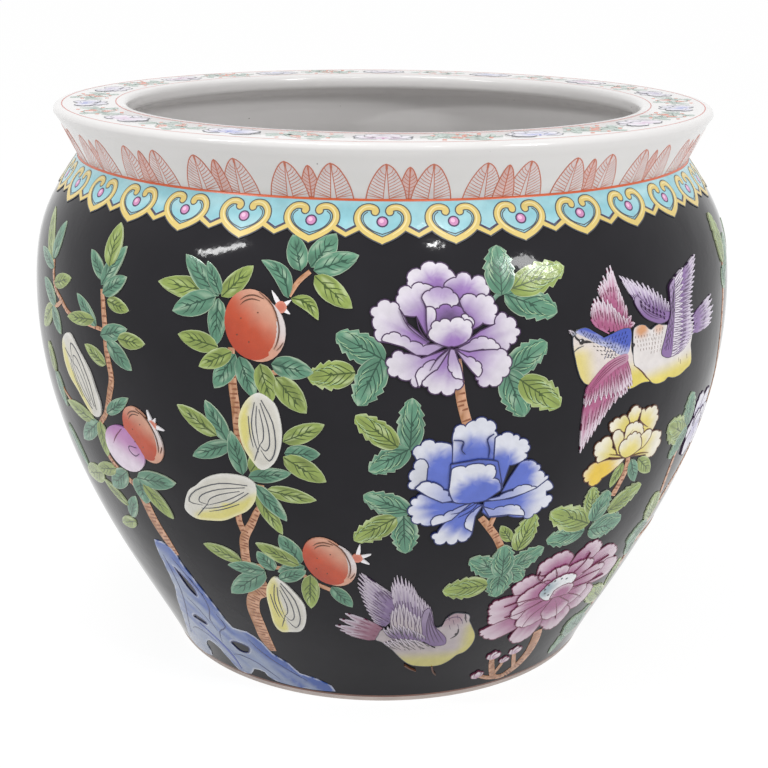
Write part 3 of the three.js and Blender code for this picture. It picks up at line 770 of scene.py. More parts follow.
def peony_leaf(relief, places, green, bend=0.0):
    """A broad peony leaf with wavy edges, its ribs sweeping from the stalk to the tip."""
    spot = blade(places, bend, (0.5, 0.6), 0.34)
    ink = leaf_ink(green)
    relief.field(spot, leaf_paint(places, green, 0.6), 22, 8)
    relief.stroke([spot(0, 0), spot(0.35, 0.02), spot(0.9, 0)], 0.7, ink, 3, (1, 0.2))
    for rib in range(PEONY_LEAF_RIBS):
        start = 0.05 + 0.15 * rib
        line = [(start, 0.0), (start + 0.15, 0.3), (start + 0.29, 0.48), (start + 0.38, 0.5 - 0.03 * rib)]
        for hand in (-1, 1):
            relief.stroke([spot(at, hand * out) for at, out in line], VEIN, ink, 2, (0.8, 0.2))
            pale_line = [spot(at + 0.07, hand * out * 0.92) for at, out in line[1:]]
            relief.stroke(pale_line, 0.36, "leaf_pale", 2, (0.3, 0.2))
    relief.stroke([spot(0.44, -0.04), spot(0.5, 0.08), spot(0.57, 0.02)], 1.3, ink, 1, (0.4, 0.2))


# Boughs

def bough(relief, places, rungs=0.0, shade="bark"):
    """A trunk, twig or stem through places of degree, row and width, with rungs of bark this far apart."""
    ribbon = Ribbon(places, BOUGH_STEPS)
    colour = tone(shade)

    def paint(share, side):
        streak = grain(share * 60, places[0][0], side * 3)
        return mixed(colour * 0.55, mixed(colour, (1, 1, 1), 0.16), 0.6 - 0.35 * side + 0.9 * streak)

    relief.field(ribbon.spot, paint, ribbon.count, 4, under=True)
    if not rungs:
        return
    rung = 0
    travelled = 0.0
    for index in range(1, ribbon.count):
        before, after = ribbon.line[index - 1], ribbon.line[index]
        travelled += math.hypot((after.x - before.x) * PATH.degree_run(after.y), after.y - before.y)
        while travelled > rungs * (rung + 1):
            rung += 1
            share = index / ribbon.count
            lean = 0.25 * (rung % 3 - 1) / ribbon.count
            left, right = RUNG_ENDS[rung * 5 % 3]
            line = [(share, left), (share + lean / 2, (left + right) / 2), (share + lean, right)]
            relief.stroke([ribbon.spot(*place) for place in line], 1.0, "chestnut", 1, (1, 0.4))


# The boughs of each motif, as (places of degree, row and width), the rungs' distance and the enamel,
# and its leaves from the back to the front, as stalk, tip and width, some with a bend
FOLIAGE = {
    "left_tree": ((
        (((-44.3, 257, 3), (-43.5, 240, 4), (-43.2, 225, 4), (-42.6, 212, 4), (-43.4, 203, 4),
            (-44.6, 194, 3.4), (-45.7, 188, 3), (-47.4, 182, 3), (-48.5, 174, 3), (-48.2, 164, 3),
            (-46, 155, 3.4), (-41.6, 147, 4)), 2.5),
        (((-41.9, 152, 7), (-41.2, 138, 7), (-40.6, 126, 7), (-39.4, 114, 6), (-38.2, 104, 3)), 2.5),
        (((-43, 236, 2), (-48, 236.6, 2.2), (-53.5, 238, 2.4), (-56.4, 243, 2.4), (-59.4, 249, 2.4),
            (-60.6, 262, 2.4)), 3),
        (((-56, 243.4, 2.4), (-58, 239, 2.4), (-60.2, 238, 2.4)),),
        (((-49.6, 181.6, 2), (-56, 185, 2), (-59.6, 191, 1.8), (-61.8, 199, 1.8)),),
    ), (
        (leaf, "leaf", (
            (-44, 262, -48.5, 275, 7.5), (-44.5, 259, -40.5, 281, 9.5), (-44, 255, -39.2, 266, 9),
            (-45.5, 237, -51, 250.5, 8), (-44.5, 233, -38.5, 240, 9), (-43, 231, -37.8, 219, 10),
            (-45, 190, -39.2, 203, 7), (-48, 182, -55.5, 164, 9.5), (-43.5, 156, -50, 139.5, 11),
            (-40.5, 155, -41, 138, 14), (-41, 155, -32.4, 159, 11), (-48, 121, -43.5, 140, 8),
            (-61, 262, -59.6, 284, 10.5), (-60, 258, -68, 264, 7), (-58.5, 239, -64.6, 249.5, 9.5),
            (-60, 237, -56.8, 224, 9), (-62.6, 166, -58.6, 142, 9), (-61.8, 199, -59.2, 180, 9),
        )),
        (leaf, "lime", (
            (-43.2, 269, -43.6, 292, 12), (-43, 252, -38.2, 249.5, 7.5), (-46, 240, -54, 236, 7.5),
            (-40.5, 234, -35, 234.5, 8.5), (-43.6, 218, -48.8, 225, 8), (-49, 181.5, -58.5, 184.5, 9),
            (-47.4, 183, -48, 161, 10), (-46.5, 155, -54, 146.5, 8.5), (-40, 152, -35.2, 133.5, 10.5),
            (-61, 260, -68.5, 287, 10), (-59.4, 250, -53.2, 257, 8), (-60, 237, -65.8, 221.5, 10),
            (-52, 146, -61, 135.5, 12.5), (-47, 130, -53, 141, 8), (-47, 119, -53.5, 109.5, 8),
            (-61.7, 198, -63.8, 214, 8),
        )),
    )),
    "fruit_tree": ((
        (((-20.6, 240, 3.6), (-20.5, 222, 4.5), (-20.2, 210, 4.5), (-20.1, 195, 4.4), (-19.8, 178, 4)), 2.5),
        (((-17.4, 168, 3.4), (-17.8, 156, 3.6), (-18.8, 150, 3.6), (-20, 142, 4.2), (-21.7, 132, 5),
            (-22.3, 122, 5), (-22.4, 112, 5.4), (-20.8, 99, 6.6), (-20.6, 93, 7), (-23, 87, 7.4),
            (-24.3, 75, 7.6), (-24.3, 60, 7.6), (-24.2, 48, 7.4), (-23.4, 38, 4)), 2.5),
        (((-21.8, 150, 3.4), (-22, 143, 3.4), (-21.6, 136, 3.8)), 3),
        (((-20.8, 229, 2.2), (-17, 228.4, 2.4), (-12.4, 231, 2.4)),),
        (((-22, 112, 2.6), (-14.4, 113, 2.6), (-11, 105, 2.6), (-7.4, 99, 2.6)),),
    ), (
        (leaf, "leaf", (
            (-22.8, 264, -29, 282, 10), (-22.5, 265, -25.2, 280, 6.5), (-23.2, 263.5, -30, 254, 12),
            (-22.8, 263, -22.9, 240, 10), (-20, 237, -23.3, 218.5, 11), (-19.4, 236, -17.3, 216, 10),
            (-14.8, 234, -9, 231, 11), (-21.8, 191, -24.9, 211.5, 9.5), (-21.3, 190, -28, 179, 9),
            (-20, 173, -21.2, 197, 9.5), (-18.2, 168, -14, 147.5, 8.5), (-19.2, 172, -12.6, 177, 8.5),
            (-13.4, 188, -8.3, 189, 9.5), (-17.6, 111, -20, 123.5, 9.5), (-12.7, 119, -15.6, 137.5, 10.5),
            (-12.2, 117, -17, 110.5, 8.5), (-19.4, 109, -27.9, 85.5, 12), (-19.4, 110, -26.4, 109, 9.5),
            (-17, 105, -12, 114, 8.5), (-8, 103, -4.7, 87.5, 8.5),
        )),
        (leaf, "lime", (
            (-23.5, 265.5, -33, 267, 11), (-22.3, 264, -18.1, 280, 9.5), (-22.6, 239.5, -29, 243, 10),
            (-20.5, 238, -25.6, 228.5, 9), (-16.4, 233.5, -14.8, 214.5, 10.5), (-14.2, 227.5, -10, 210.5, 12),
            (-23.4, 193.5, -29.6, 206.5, 9.5), (-18.8, 175, -14.9, 195.5, 9.5), (-16.6, 165.5, -9.2, 162, 9),
            (-18.2, 162, -15, 138, 8.5), (-13.5, 194.5, -7.6, 205, 9.5), (-13.6, 186, -7.6, 173.5, 11.5),
            (-23.4, 114.5, -30.2, 121, 9.5), (-13, 117.5, -19.9, 129.5, 10), (-11.4, 111, -12.2, 84.5, 9.5),
        )),
    )),
    "pomegranate_spray": ((
        (((-9.9, 279, 2.2), (-11.4, 274, 2.4), (-12.6, 267, 2.4)),),
    ), (
        (leaf, "leaf", (
            (-11.2, 279, -12.9, 297, 10), (-9.8, 281, -6.6, 298, 12), (-9.4, 279.5, -3.2, 287.5, 11),
            (-12.6, 266, -17, 283, 8, 4),
        )),
        (leaf, "lime", ((-9.2, 277, -3.9, 262.5, 10.5), (-12.2, 266, -8.4, 256.5, 6.5, -3))),
    )),
    "peony_leaves_left": ((), (
        (peony_leaf, "leaf", ((0.5, 238, -6, 250.5, 14.5), (0, 239, -3.1, 215.5, 15))),
        (peony_leaf, "lime", ((-3.4, 232, -9.8, 228.5, 14),)),
    )),
    "peony_leaves_middle": ((), (
        (peony_leaf, "leaf", ((4, 192, 4.2, 219.5, 13), (4, 193, -1.6, 180.5, 13))),
        (peony_leaf, "lime", ((2.4, 194, -3.4, 210.5, 12.5),)),
    )),
    "peony_leaves_lower": ((), (
        (peony_leaf, "leaf", ((4.5, 156, -2.4, 166.5, 13.5), (3.5, 154, 4, 129, 13.5))),
        (peony_leaf, "lime", ((2.4, 153, -3.9, 137.5, 13.5),)),
    )),
    "peony_leaves_top": ((
        (((14.6, 262, 2), (15.6, 267, 2), (17, 269, 2)), 0, "leaf"),
    ), (
        (peony_leaf, "leaf", ((16.8, 268, 24.6, 257, 15),)),
        (peony_leaf, "lime", ((17.6, 270, 26.4, 278.5, 14.5),)),
        (peony_leaf, "leaf", ((16.4, 267.5, 16.4, 291.5, 15),)),
    )),
    "peony_leaves_right": ((), (
        (peony_leaf, "leaf", ((16.8, 230, 23, 243, 14.5), (17, 231, 20, 206.5, 15.5))),
        (peony_leaf, "lime", ((19, 226, 25.5, 209.5, 15),)),
    )),
    "peony_branch": ((
        (((10, 238, 5), (10.5, 225, 5), (11, 215, 5), (12, 203, 5)), 3.2),
        (((15.2, 150, 3.6), (17, 142, 4), (18.6, 134, 4), (20.4, 122, 4)), 2.8),
        (((17.3, 150, 2.8), (16.8, 143, 2.8)),),
    ), (
        (leaf, "lime", ((21, 131.5, 18.7, 143, 6.5),)),
        (peony_leaf, "lime", ((18.8, 101, 10.8, 99.6, 16), (22.6, 124, 24, 148.5, 13))),
        (peony_leaf, "leaf", (
            (21, 108, 14.6, 122.5, 13.5), (21, 106, 20, 129.5, 13), (21, 108, 27.8, 122.5, 14.5),
            (21.2, 112, 25.4, 100, 12), (20.6, 112, 21.2, 89.5, 15),
        )),
    )),
    "yellow_peony_leaves": ((
        (((40.6, 171, 3), (40.9, 162, 4), (40.4, 155, 4), (39.6, 147, 4.4)), 2.8),
    ), (
        (leaf, "lime", ((39.6, 168, 38.2, 153.5, 7), (43.4, 167, 48.2, 154, 8.5))),
        (leaf, "leaf", ((41.4, 168, 44.3, 152, 7.5),)),
        (peony_leaf, "lime", (
            (36, 132, 27, 147, 16), (35.4, 140, 34.2, 157.5, 10), (39.6, 137, 46.8, 147.5, 13.5),
        )),
        (peony_leaf, "leaf", (
            (36.6, 133, 37.9, 152.5, 14), (35.6, 127, 27.8, 127.5, 14.5), (36.6, 127, 44.8, 125, 17),
        )),
    )),
    "blossom_branch": ((
        (((36.4, 46, 6), (37.3, 36, 7), (37.5, 25, 7), (36, 15, 6.4), (33, 8.6, 5)), 2.6),
        (((33, 8.6, 4), (30.6, 8.4, 3.6), (28.8, 12, 3.6), (27.2, 22, 3.6), (26.3, 30, 3)), 3),
        (((31.5, 8, 3.4), (27.6, 10.4, 3), (24.6, 14.6, 2.6)),),
        (((34.8, 13.6, 2.8), (33.6, 21, 2.8), (32.4, 29, 2.6)),),
        (((28.9, 12.4, 2.4), (29.8, 19, 2.4), (30.1, 24, 2.2)),),
    ), (
    )),
    "side_spray": ((
        (((56.8, 20, 4.6), (57.4, 60, 5), (58.6, 92, 5), (61, 120, 4.6), (66, 138, 4), (71, 158, 4),
            (71.6, 184, 4), (68.8, 215, 3.6), (68.4, 250, 3.6), (68.6, 266, 3)), 2.8),
        (((60, 112, 3), (57.2, 142, 3), (57, 168, 2.6)), 3),
        (((71, 158, 4), (80, 180, 3.6), (86, 224, 3.4), (85, 248, 3)), 3),
        (((58.6, 92, 4), (68, 94, 3.6), (80, 93, 3.4), (90.6, 111, 3)), 3),
    ), (
        (peony_leaf, "leaf", (
            (57.8, 172, 56, 195, 14), (58, 172, 54, 156, 12), (58.6, 107, 52.4, 99.6, 15),
            (56, 26, 47.6, 40, 19), (67.4, 256, 69.8, 243, 11), (68.8, 250, 74, 271.5, 12),
            (55.4, 46, 47.8, 11, 13), (57.6, 84, 54, 108, 11),
        )),
        (peony_leaf, "lime", (
            (57.4, 168, 50, 181, 16.5), (58.6, 110, 55, 131.5, 15), (57, 50, 47.2, 68, 14),
            (68.6, 258, 67, 287.5, 13), (57.4, 58, 55, 84, 9),
        )),
        (leaf, "leaf", ((85, 247, 80, 276, 11), (86, 224, 92.4, 210, 11))),
        (leaf, "lime", ((85, 247, 90, 274, 11), (90, 110, 96, 126, 11))),
    )),
}


def grown(name):
    """A motif with its boughs and the leaves over them."""
    relief = relief_for(name)
    boughs, sprays = FOLIAGE[name]
    for row in boughs:
        bough(relief, *row)
    for maker, green, table in sprays:
        for places in table:
            maker(relief, places[:5], green, *places[5:])
    return relief


# Fruits

def round_spot(centre, half_width, half_height, tilt):
    """Places of an oval from its share of the turn and its distance from the middle."""
    run = PATH.degree_run(centre[1])
    lean = Matrix.Rotation(math.radians(tilt), 2)

    def spot(turn, far):
        angle = turn * math.tau
        reach = lean @ Vector((half_width * math.cos(angle), half_height * math.sin(angle))) * far
        return centre[0] + reach.x / run, centre[1] + reach.y

    return spot


def pomegranate(relief, centre, size, tilt, crown, sepals):
    """An iron-red fruit that pales towards its crown, with a pale lobe behind it and thin white sepals."""
    run = PATH.degree_run(centre[1])
    deep, middle, pale = glaze("b03c1c"), tone("pomegranate"), tone("pomegranate_pale")
    relief.raise_level()
    for sepal in sepals:
        relief.stroke([crown, mixed(crown, sepal, 0.5), sepal], 2.0, "white", 2, (0.9, 0.1))
    relief.disc(round_spot(crown, 2.9, 2.9, 0), lambda turn, far: mixed(middle, glaze("d9907c"), far), 14, 2)
    back = round_spot((centre[0] + 2.1 / run, centre[1] - 1.6), size[0] * 0.87, size[1] * 0.9, tilt)

    def back_paint(turn, far):
        return mixed(pale, glaze("dcd3d2"), eased(-0.1, 0.9, math.cos(turn * math.tau - math.radians(38))))

    relief.disc(back, back_paint, 32, 4, 0.2)
    spot = round_spot((centre[0] - 1.5 / run, centre[1] + 0.6), size[0] * 0.9, size[1], tilt + 6)

    def paint(turn, far):
        angle = turn * math.tau
        mottle = 0.1 * grain(math.cos(angle) * far * 3, math.sin(angle) * far * 3, centre[1])
        light = far * math.cos(angle - math.radians(42)) + mottle
        return mixed(mixed(deep, middle, eased(-0.9, -0.1, light)), pale, eased(-0.15, 0.85, light))

    relief.disc(spot, paint, 36, 6, 0.3)
    arcs = [[(turn, 0.99) for turn in (60, 25, -10, -35, -52)]]
    for far, first in ((0.78, 52), (0.9, 46)):
        arcs.append([(first + spread, far - spread * 0.002) for spread in (0, 22, 44, 62)])
    for arc in arcs:
        relief.stroke([spot(turn / 360, far) for turn, far in arc], 0.6, "umber", 3, (0.3, 0.1))
    rim = [spot(turn / 360, far) for turn, far in ((-32, 1.18), (-40, 1.14), (-50, 1.08))]
    relief.stroke(rim, 0.5, "umber", 2, (0.2, 0.2))
    for turn, far in ((0.55, 0.62), (0.12, 0.45), (0.68, 0.5), (0.4, 0.4)):
        relief.dot(spot(turn, far), 0.4, "umber", 6)


def peach(relief, centre, size, tilt):
    """The peach: pink and lilac round its rim, pale below, with a curled mark."""
    spot = round_spot(centre, *size, tilt)

    def paint(turn, far):
        low = far * math.cos(turn * math.tau - math.radians(235))
        colour = mixed(glaze("b97fb4"), glaze("e2d4e2"), eased(-0.6, 0.5, low))
        return mixed(colour, glaze("a570b0"), 0.6 * eased(0.7, 1.0, far) * eased(0.3, -0.6, low))

    relief.disc(spot, paint, 32, 6, 0.5)
    curl = [(0.02, 0.75), (0.06, 0.45), (0.98, 0.35), (0.93, 0.6), (0.97, 0.8)]
    relief.stroke([spot(turn, far) for turn, far in curl], 0.6, "plum", 3, (0.3, 0.3))
    relief.stroke([spot(0.2, 0.9), spot(0.3, 0.55), spot(0.42, 0.5)], 0.7, "rose_dark", 3, (0.3, 0.1))


def outlined(border):
    """The middle of an outline, and its places from a share of the turn and a distance from the middle."""
    count = len(border)
    middle = sum(border, Vector((0, 0))) / count
    return middle, lambda turn, far: middle.lerp(border[round(turn * count) % count], far)


# The fingers of a citron, in shares of its length and of its half width from the white side to the yellow
CITRON_FINGERS = (
    ((0.08, -0.1), (0.35, -0.6), (0.68, -0.68), (0.86, -0.36), (0.72, 0.0)),
    ((0.12, -0.06), (0.4, -0.38), (0.64, -0.42), (0.73, -0.2), (0.66, 0.02)),
    ((0.2, 0.0), (0.42, -0.16), (0.58, -0.14), (0.66, 0.05)),
    ((0.16, 0.1), (0.4, 0.16), (0.68, 0.06)), ((0.12, 0.2), (0.38, 0.36), (0.6, 0.28), (0.76, 0.1)),
    ((0.3, 0.5), (0.52, 0.46), (0.7, 0.34)), ((0.64, 0.0), (0.78, 0.2), (0.88, 0.34)),
)


def citron(relief, outline, yellow_side, yellow_from):
    """A finger citron: a white side with dark wavy fingers, and a yellow side."""
    border = smoothed(outline, 4, True)
    middle, spot = outlined(border)
    stalk = Vector(outline[0])
    run = PATH.degree_run(middle.y)

    def reach(place, way):
        return (place.x - middle.x) * run * way.x + (place.y - middle.y) * way.y

    ahead = Vector(((middle.x - stalk.x) * run, middle.y - stalk.y)).normalized()
    beside = Vector((ahead.y, -ahead.x))
    start = min(reach(place, ahead) for place in border)
    length = max(reach(place, ahead) for place in border) - start
    width = max(abs(reach(place, beside)) for place in border)
    yellow, white = tone("citron"), tone("citron_pale")

    def paint(turn, far):
        side = reach(spot(turn, far), beside) / width * yellow_side
        mottle = 0.2 * grain(turn * 12, far * 2, stalk.x)
        colour = mixed(white, yellow, eased(yellow_from, yellow_from + 0.3, side + mottle))
        return mixed(colour, (1, 1, 1), 0.3 * eased(0.85, 1.0, far))

    relief.disc(spot, paint, len(border), 6, 0.3)
    for finger in CITRON_FINGERS:
        line = []
        for share, side in finger:
            place = ahead * (start + share * length) + beside * width * side * yellow_side
            line.append((middle.x + place.x / run, middle.y + place.y))
        relief.stroke(line, 0.6, "slate", 3, (0.6, 0.4))


# Flowers

def petal(relief, base, tip, width, shades, ruffles, ink="plum", waist=0.18):
    """A ruffled petal from the heart out to its scalloped edge, deep inside and pale at the edge."""
    course = Course(base, tip)
    deep, pale = shades
    seed = base[0] * 7 + tip[1]
    steps = ruffles * 4 + 2

    def spot(share, side):
        cusp = abs(math.sin(math.pi * ruffles * (side + 1) / 2 + seed)) ** 0.6 - 0.6
        end = 1 - 0.24 * side * side + 0.09 * cusp * share ** 3
        fold = abs(math.sin(math.pi * 2.4 * share + seed)) ** 0.6 - 0.6
        spread = waist + (1 - waist) * math.sin(min(share * 1.35, 1.0) * math.pi / 2)
        narrowed = 0.22 * eased(0.75, 1.0, share) * abs(side)
        spread *= 1 - narrowed + 0.09 * fold * abs(side) ** 3 * eased(0.3, 0.6, share)
        return course.spot(share * end, side * spread * width / 2)

    def paint(share, side):
        streak = 0.16 * grain(side * 6, share * 1.5, seed)
        edge = max(share, 0.9 * abs(side) ** 2)
        return mixed(deep, pale, eased(0.1, 0.95, edge + streak) ** 0.8)

    relief.field(spot, paint, 12, steps)
    border = [spot(share, -1.02) for share in (0.3, 0.55, 0.8)]
    border += [spot(1.01, -1 + 2 * step / steps) for step in range(steps + 1)]
    border += [spot(share, 1.02) for share in (0.8, 0.55, 0.3)]
    relief.stroke(border, 0.62, ink, 2, (0.3, 0.3))


def ruffled(cusps):
    """A closed outline with a round scallop after each place, as high in millimetres as the place says."""
    border = []
    for index, (degree, row, bulge) in enumerate(cusps):
        end_degree, end_row, _ = cusps[(index + 1) % len(cusps)]
        run = PATH.degree_run((row + end_row) / 2)
        chord = Vector(((end_degree - degree) * run, end_row - row))
        out = Vector((-chord.y, chord.x)).normalized()
        for step in range(SCALLOP_STEPS):
            turn = math.pi * step / SCALLOP_STEPS
            place = chord * (1 - math.cos(turn)) / 2 + out * bulge * math.sin(turn)
            border.append(Vector((degree + place.x / run, row + place.y)))
    return border


def scalloped_petal(relief, heart, cusps, shades, ink, start, end):
    """A petal inside a ruffled outline, deep at its heart and pale at its far edge, with a dark outline."""
    border = ruffled(cusps)
    _, spot = outlined(border)
    run = PATH.degree_run(heart[1])
    base = Vector(heart)

    def away(place):
        return Vector(((place.x - base.x) * run, place.y - base.y)).length

    reach = max(away(place) for place in border)

    def paint(turn, far):
        place = spot(turn, far)
        angle = math.atan2((place.x - base.x) * run, place.y - base.y)
        streak = 0.12 * grain(math.cos(angle) * 7, math.sin(angle) * 7, heart[1])
        return mixed(*shades, eased(start, end, away(place) / reach + streak))

    relief.disc(spot, paint, len(border))
    relief.stroke([*border, border[0]], 0.6, ink, 1)


def frilled(cusps):
    """The same outline with each bold scallop split into two small ones."""
    places = []
    for index, (degree, row, bulge) in enumerate(cusps):
        if bulge < BOLD_SCALLOP:
            places.append((degree, row, bulge))
            continue
        end_degree, end_row, _ = cusps[(index + 1) % len(cusps)]
        run = PATH.degree_run(row)
        chord = Vector(((end_degree - degree) * run, end_row - row))
        out = Vector((-chord.y, chord.x)).normalized() * bulge * 0.6
        middle = ((degree + end_degree) / 2 + out.x / run, (row + end_row) / 2 + out.y)
        places += [(degree, row, bulge * 0.55), (*middle, bulge * 0.6)]
    return places


def flower(relief, petals, kinds, ink, frill=False, start=0.25, end=0.95):
    """A peony, petal over petal from the back to the front, each with its kind of shades and its range."""
    for heart, cusps, *rest in petals:
        kind, low, high = (*rest, *("plain", start, end)[len(rest):])
        scalloped_petal(relief, heart, frilled(cusps) if frill else cusps, kinds[kind], ink, low, high)


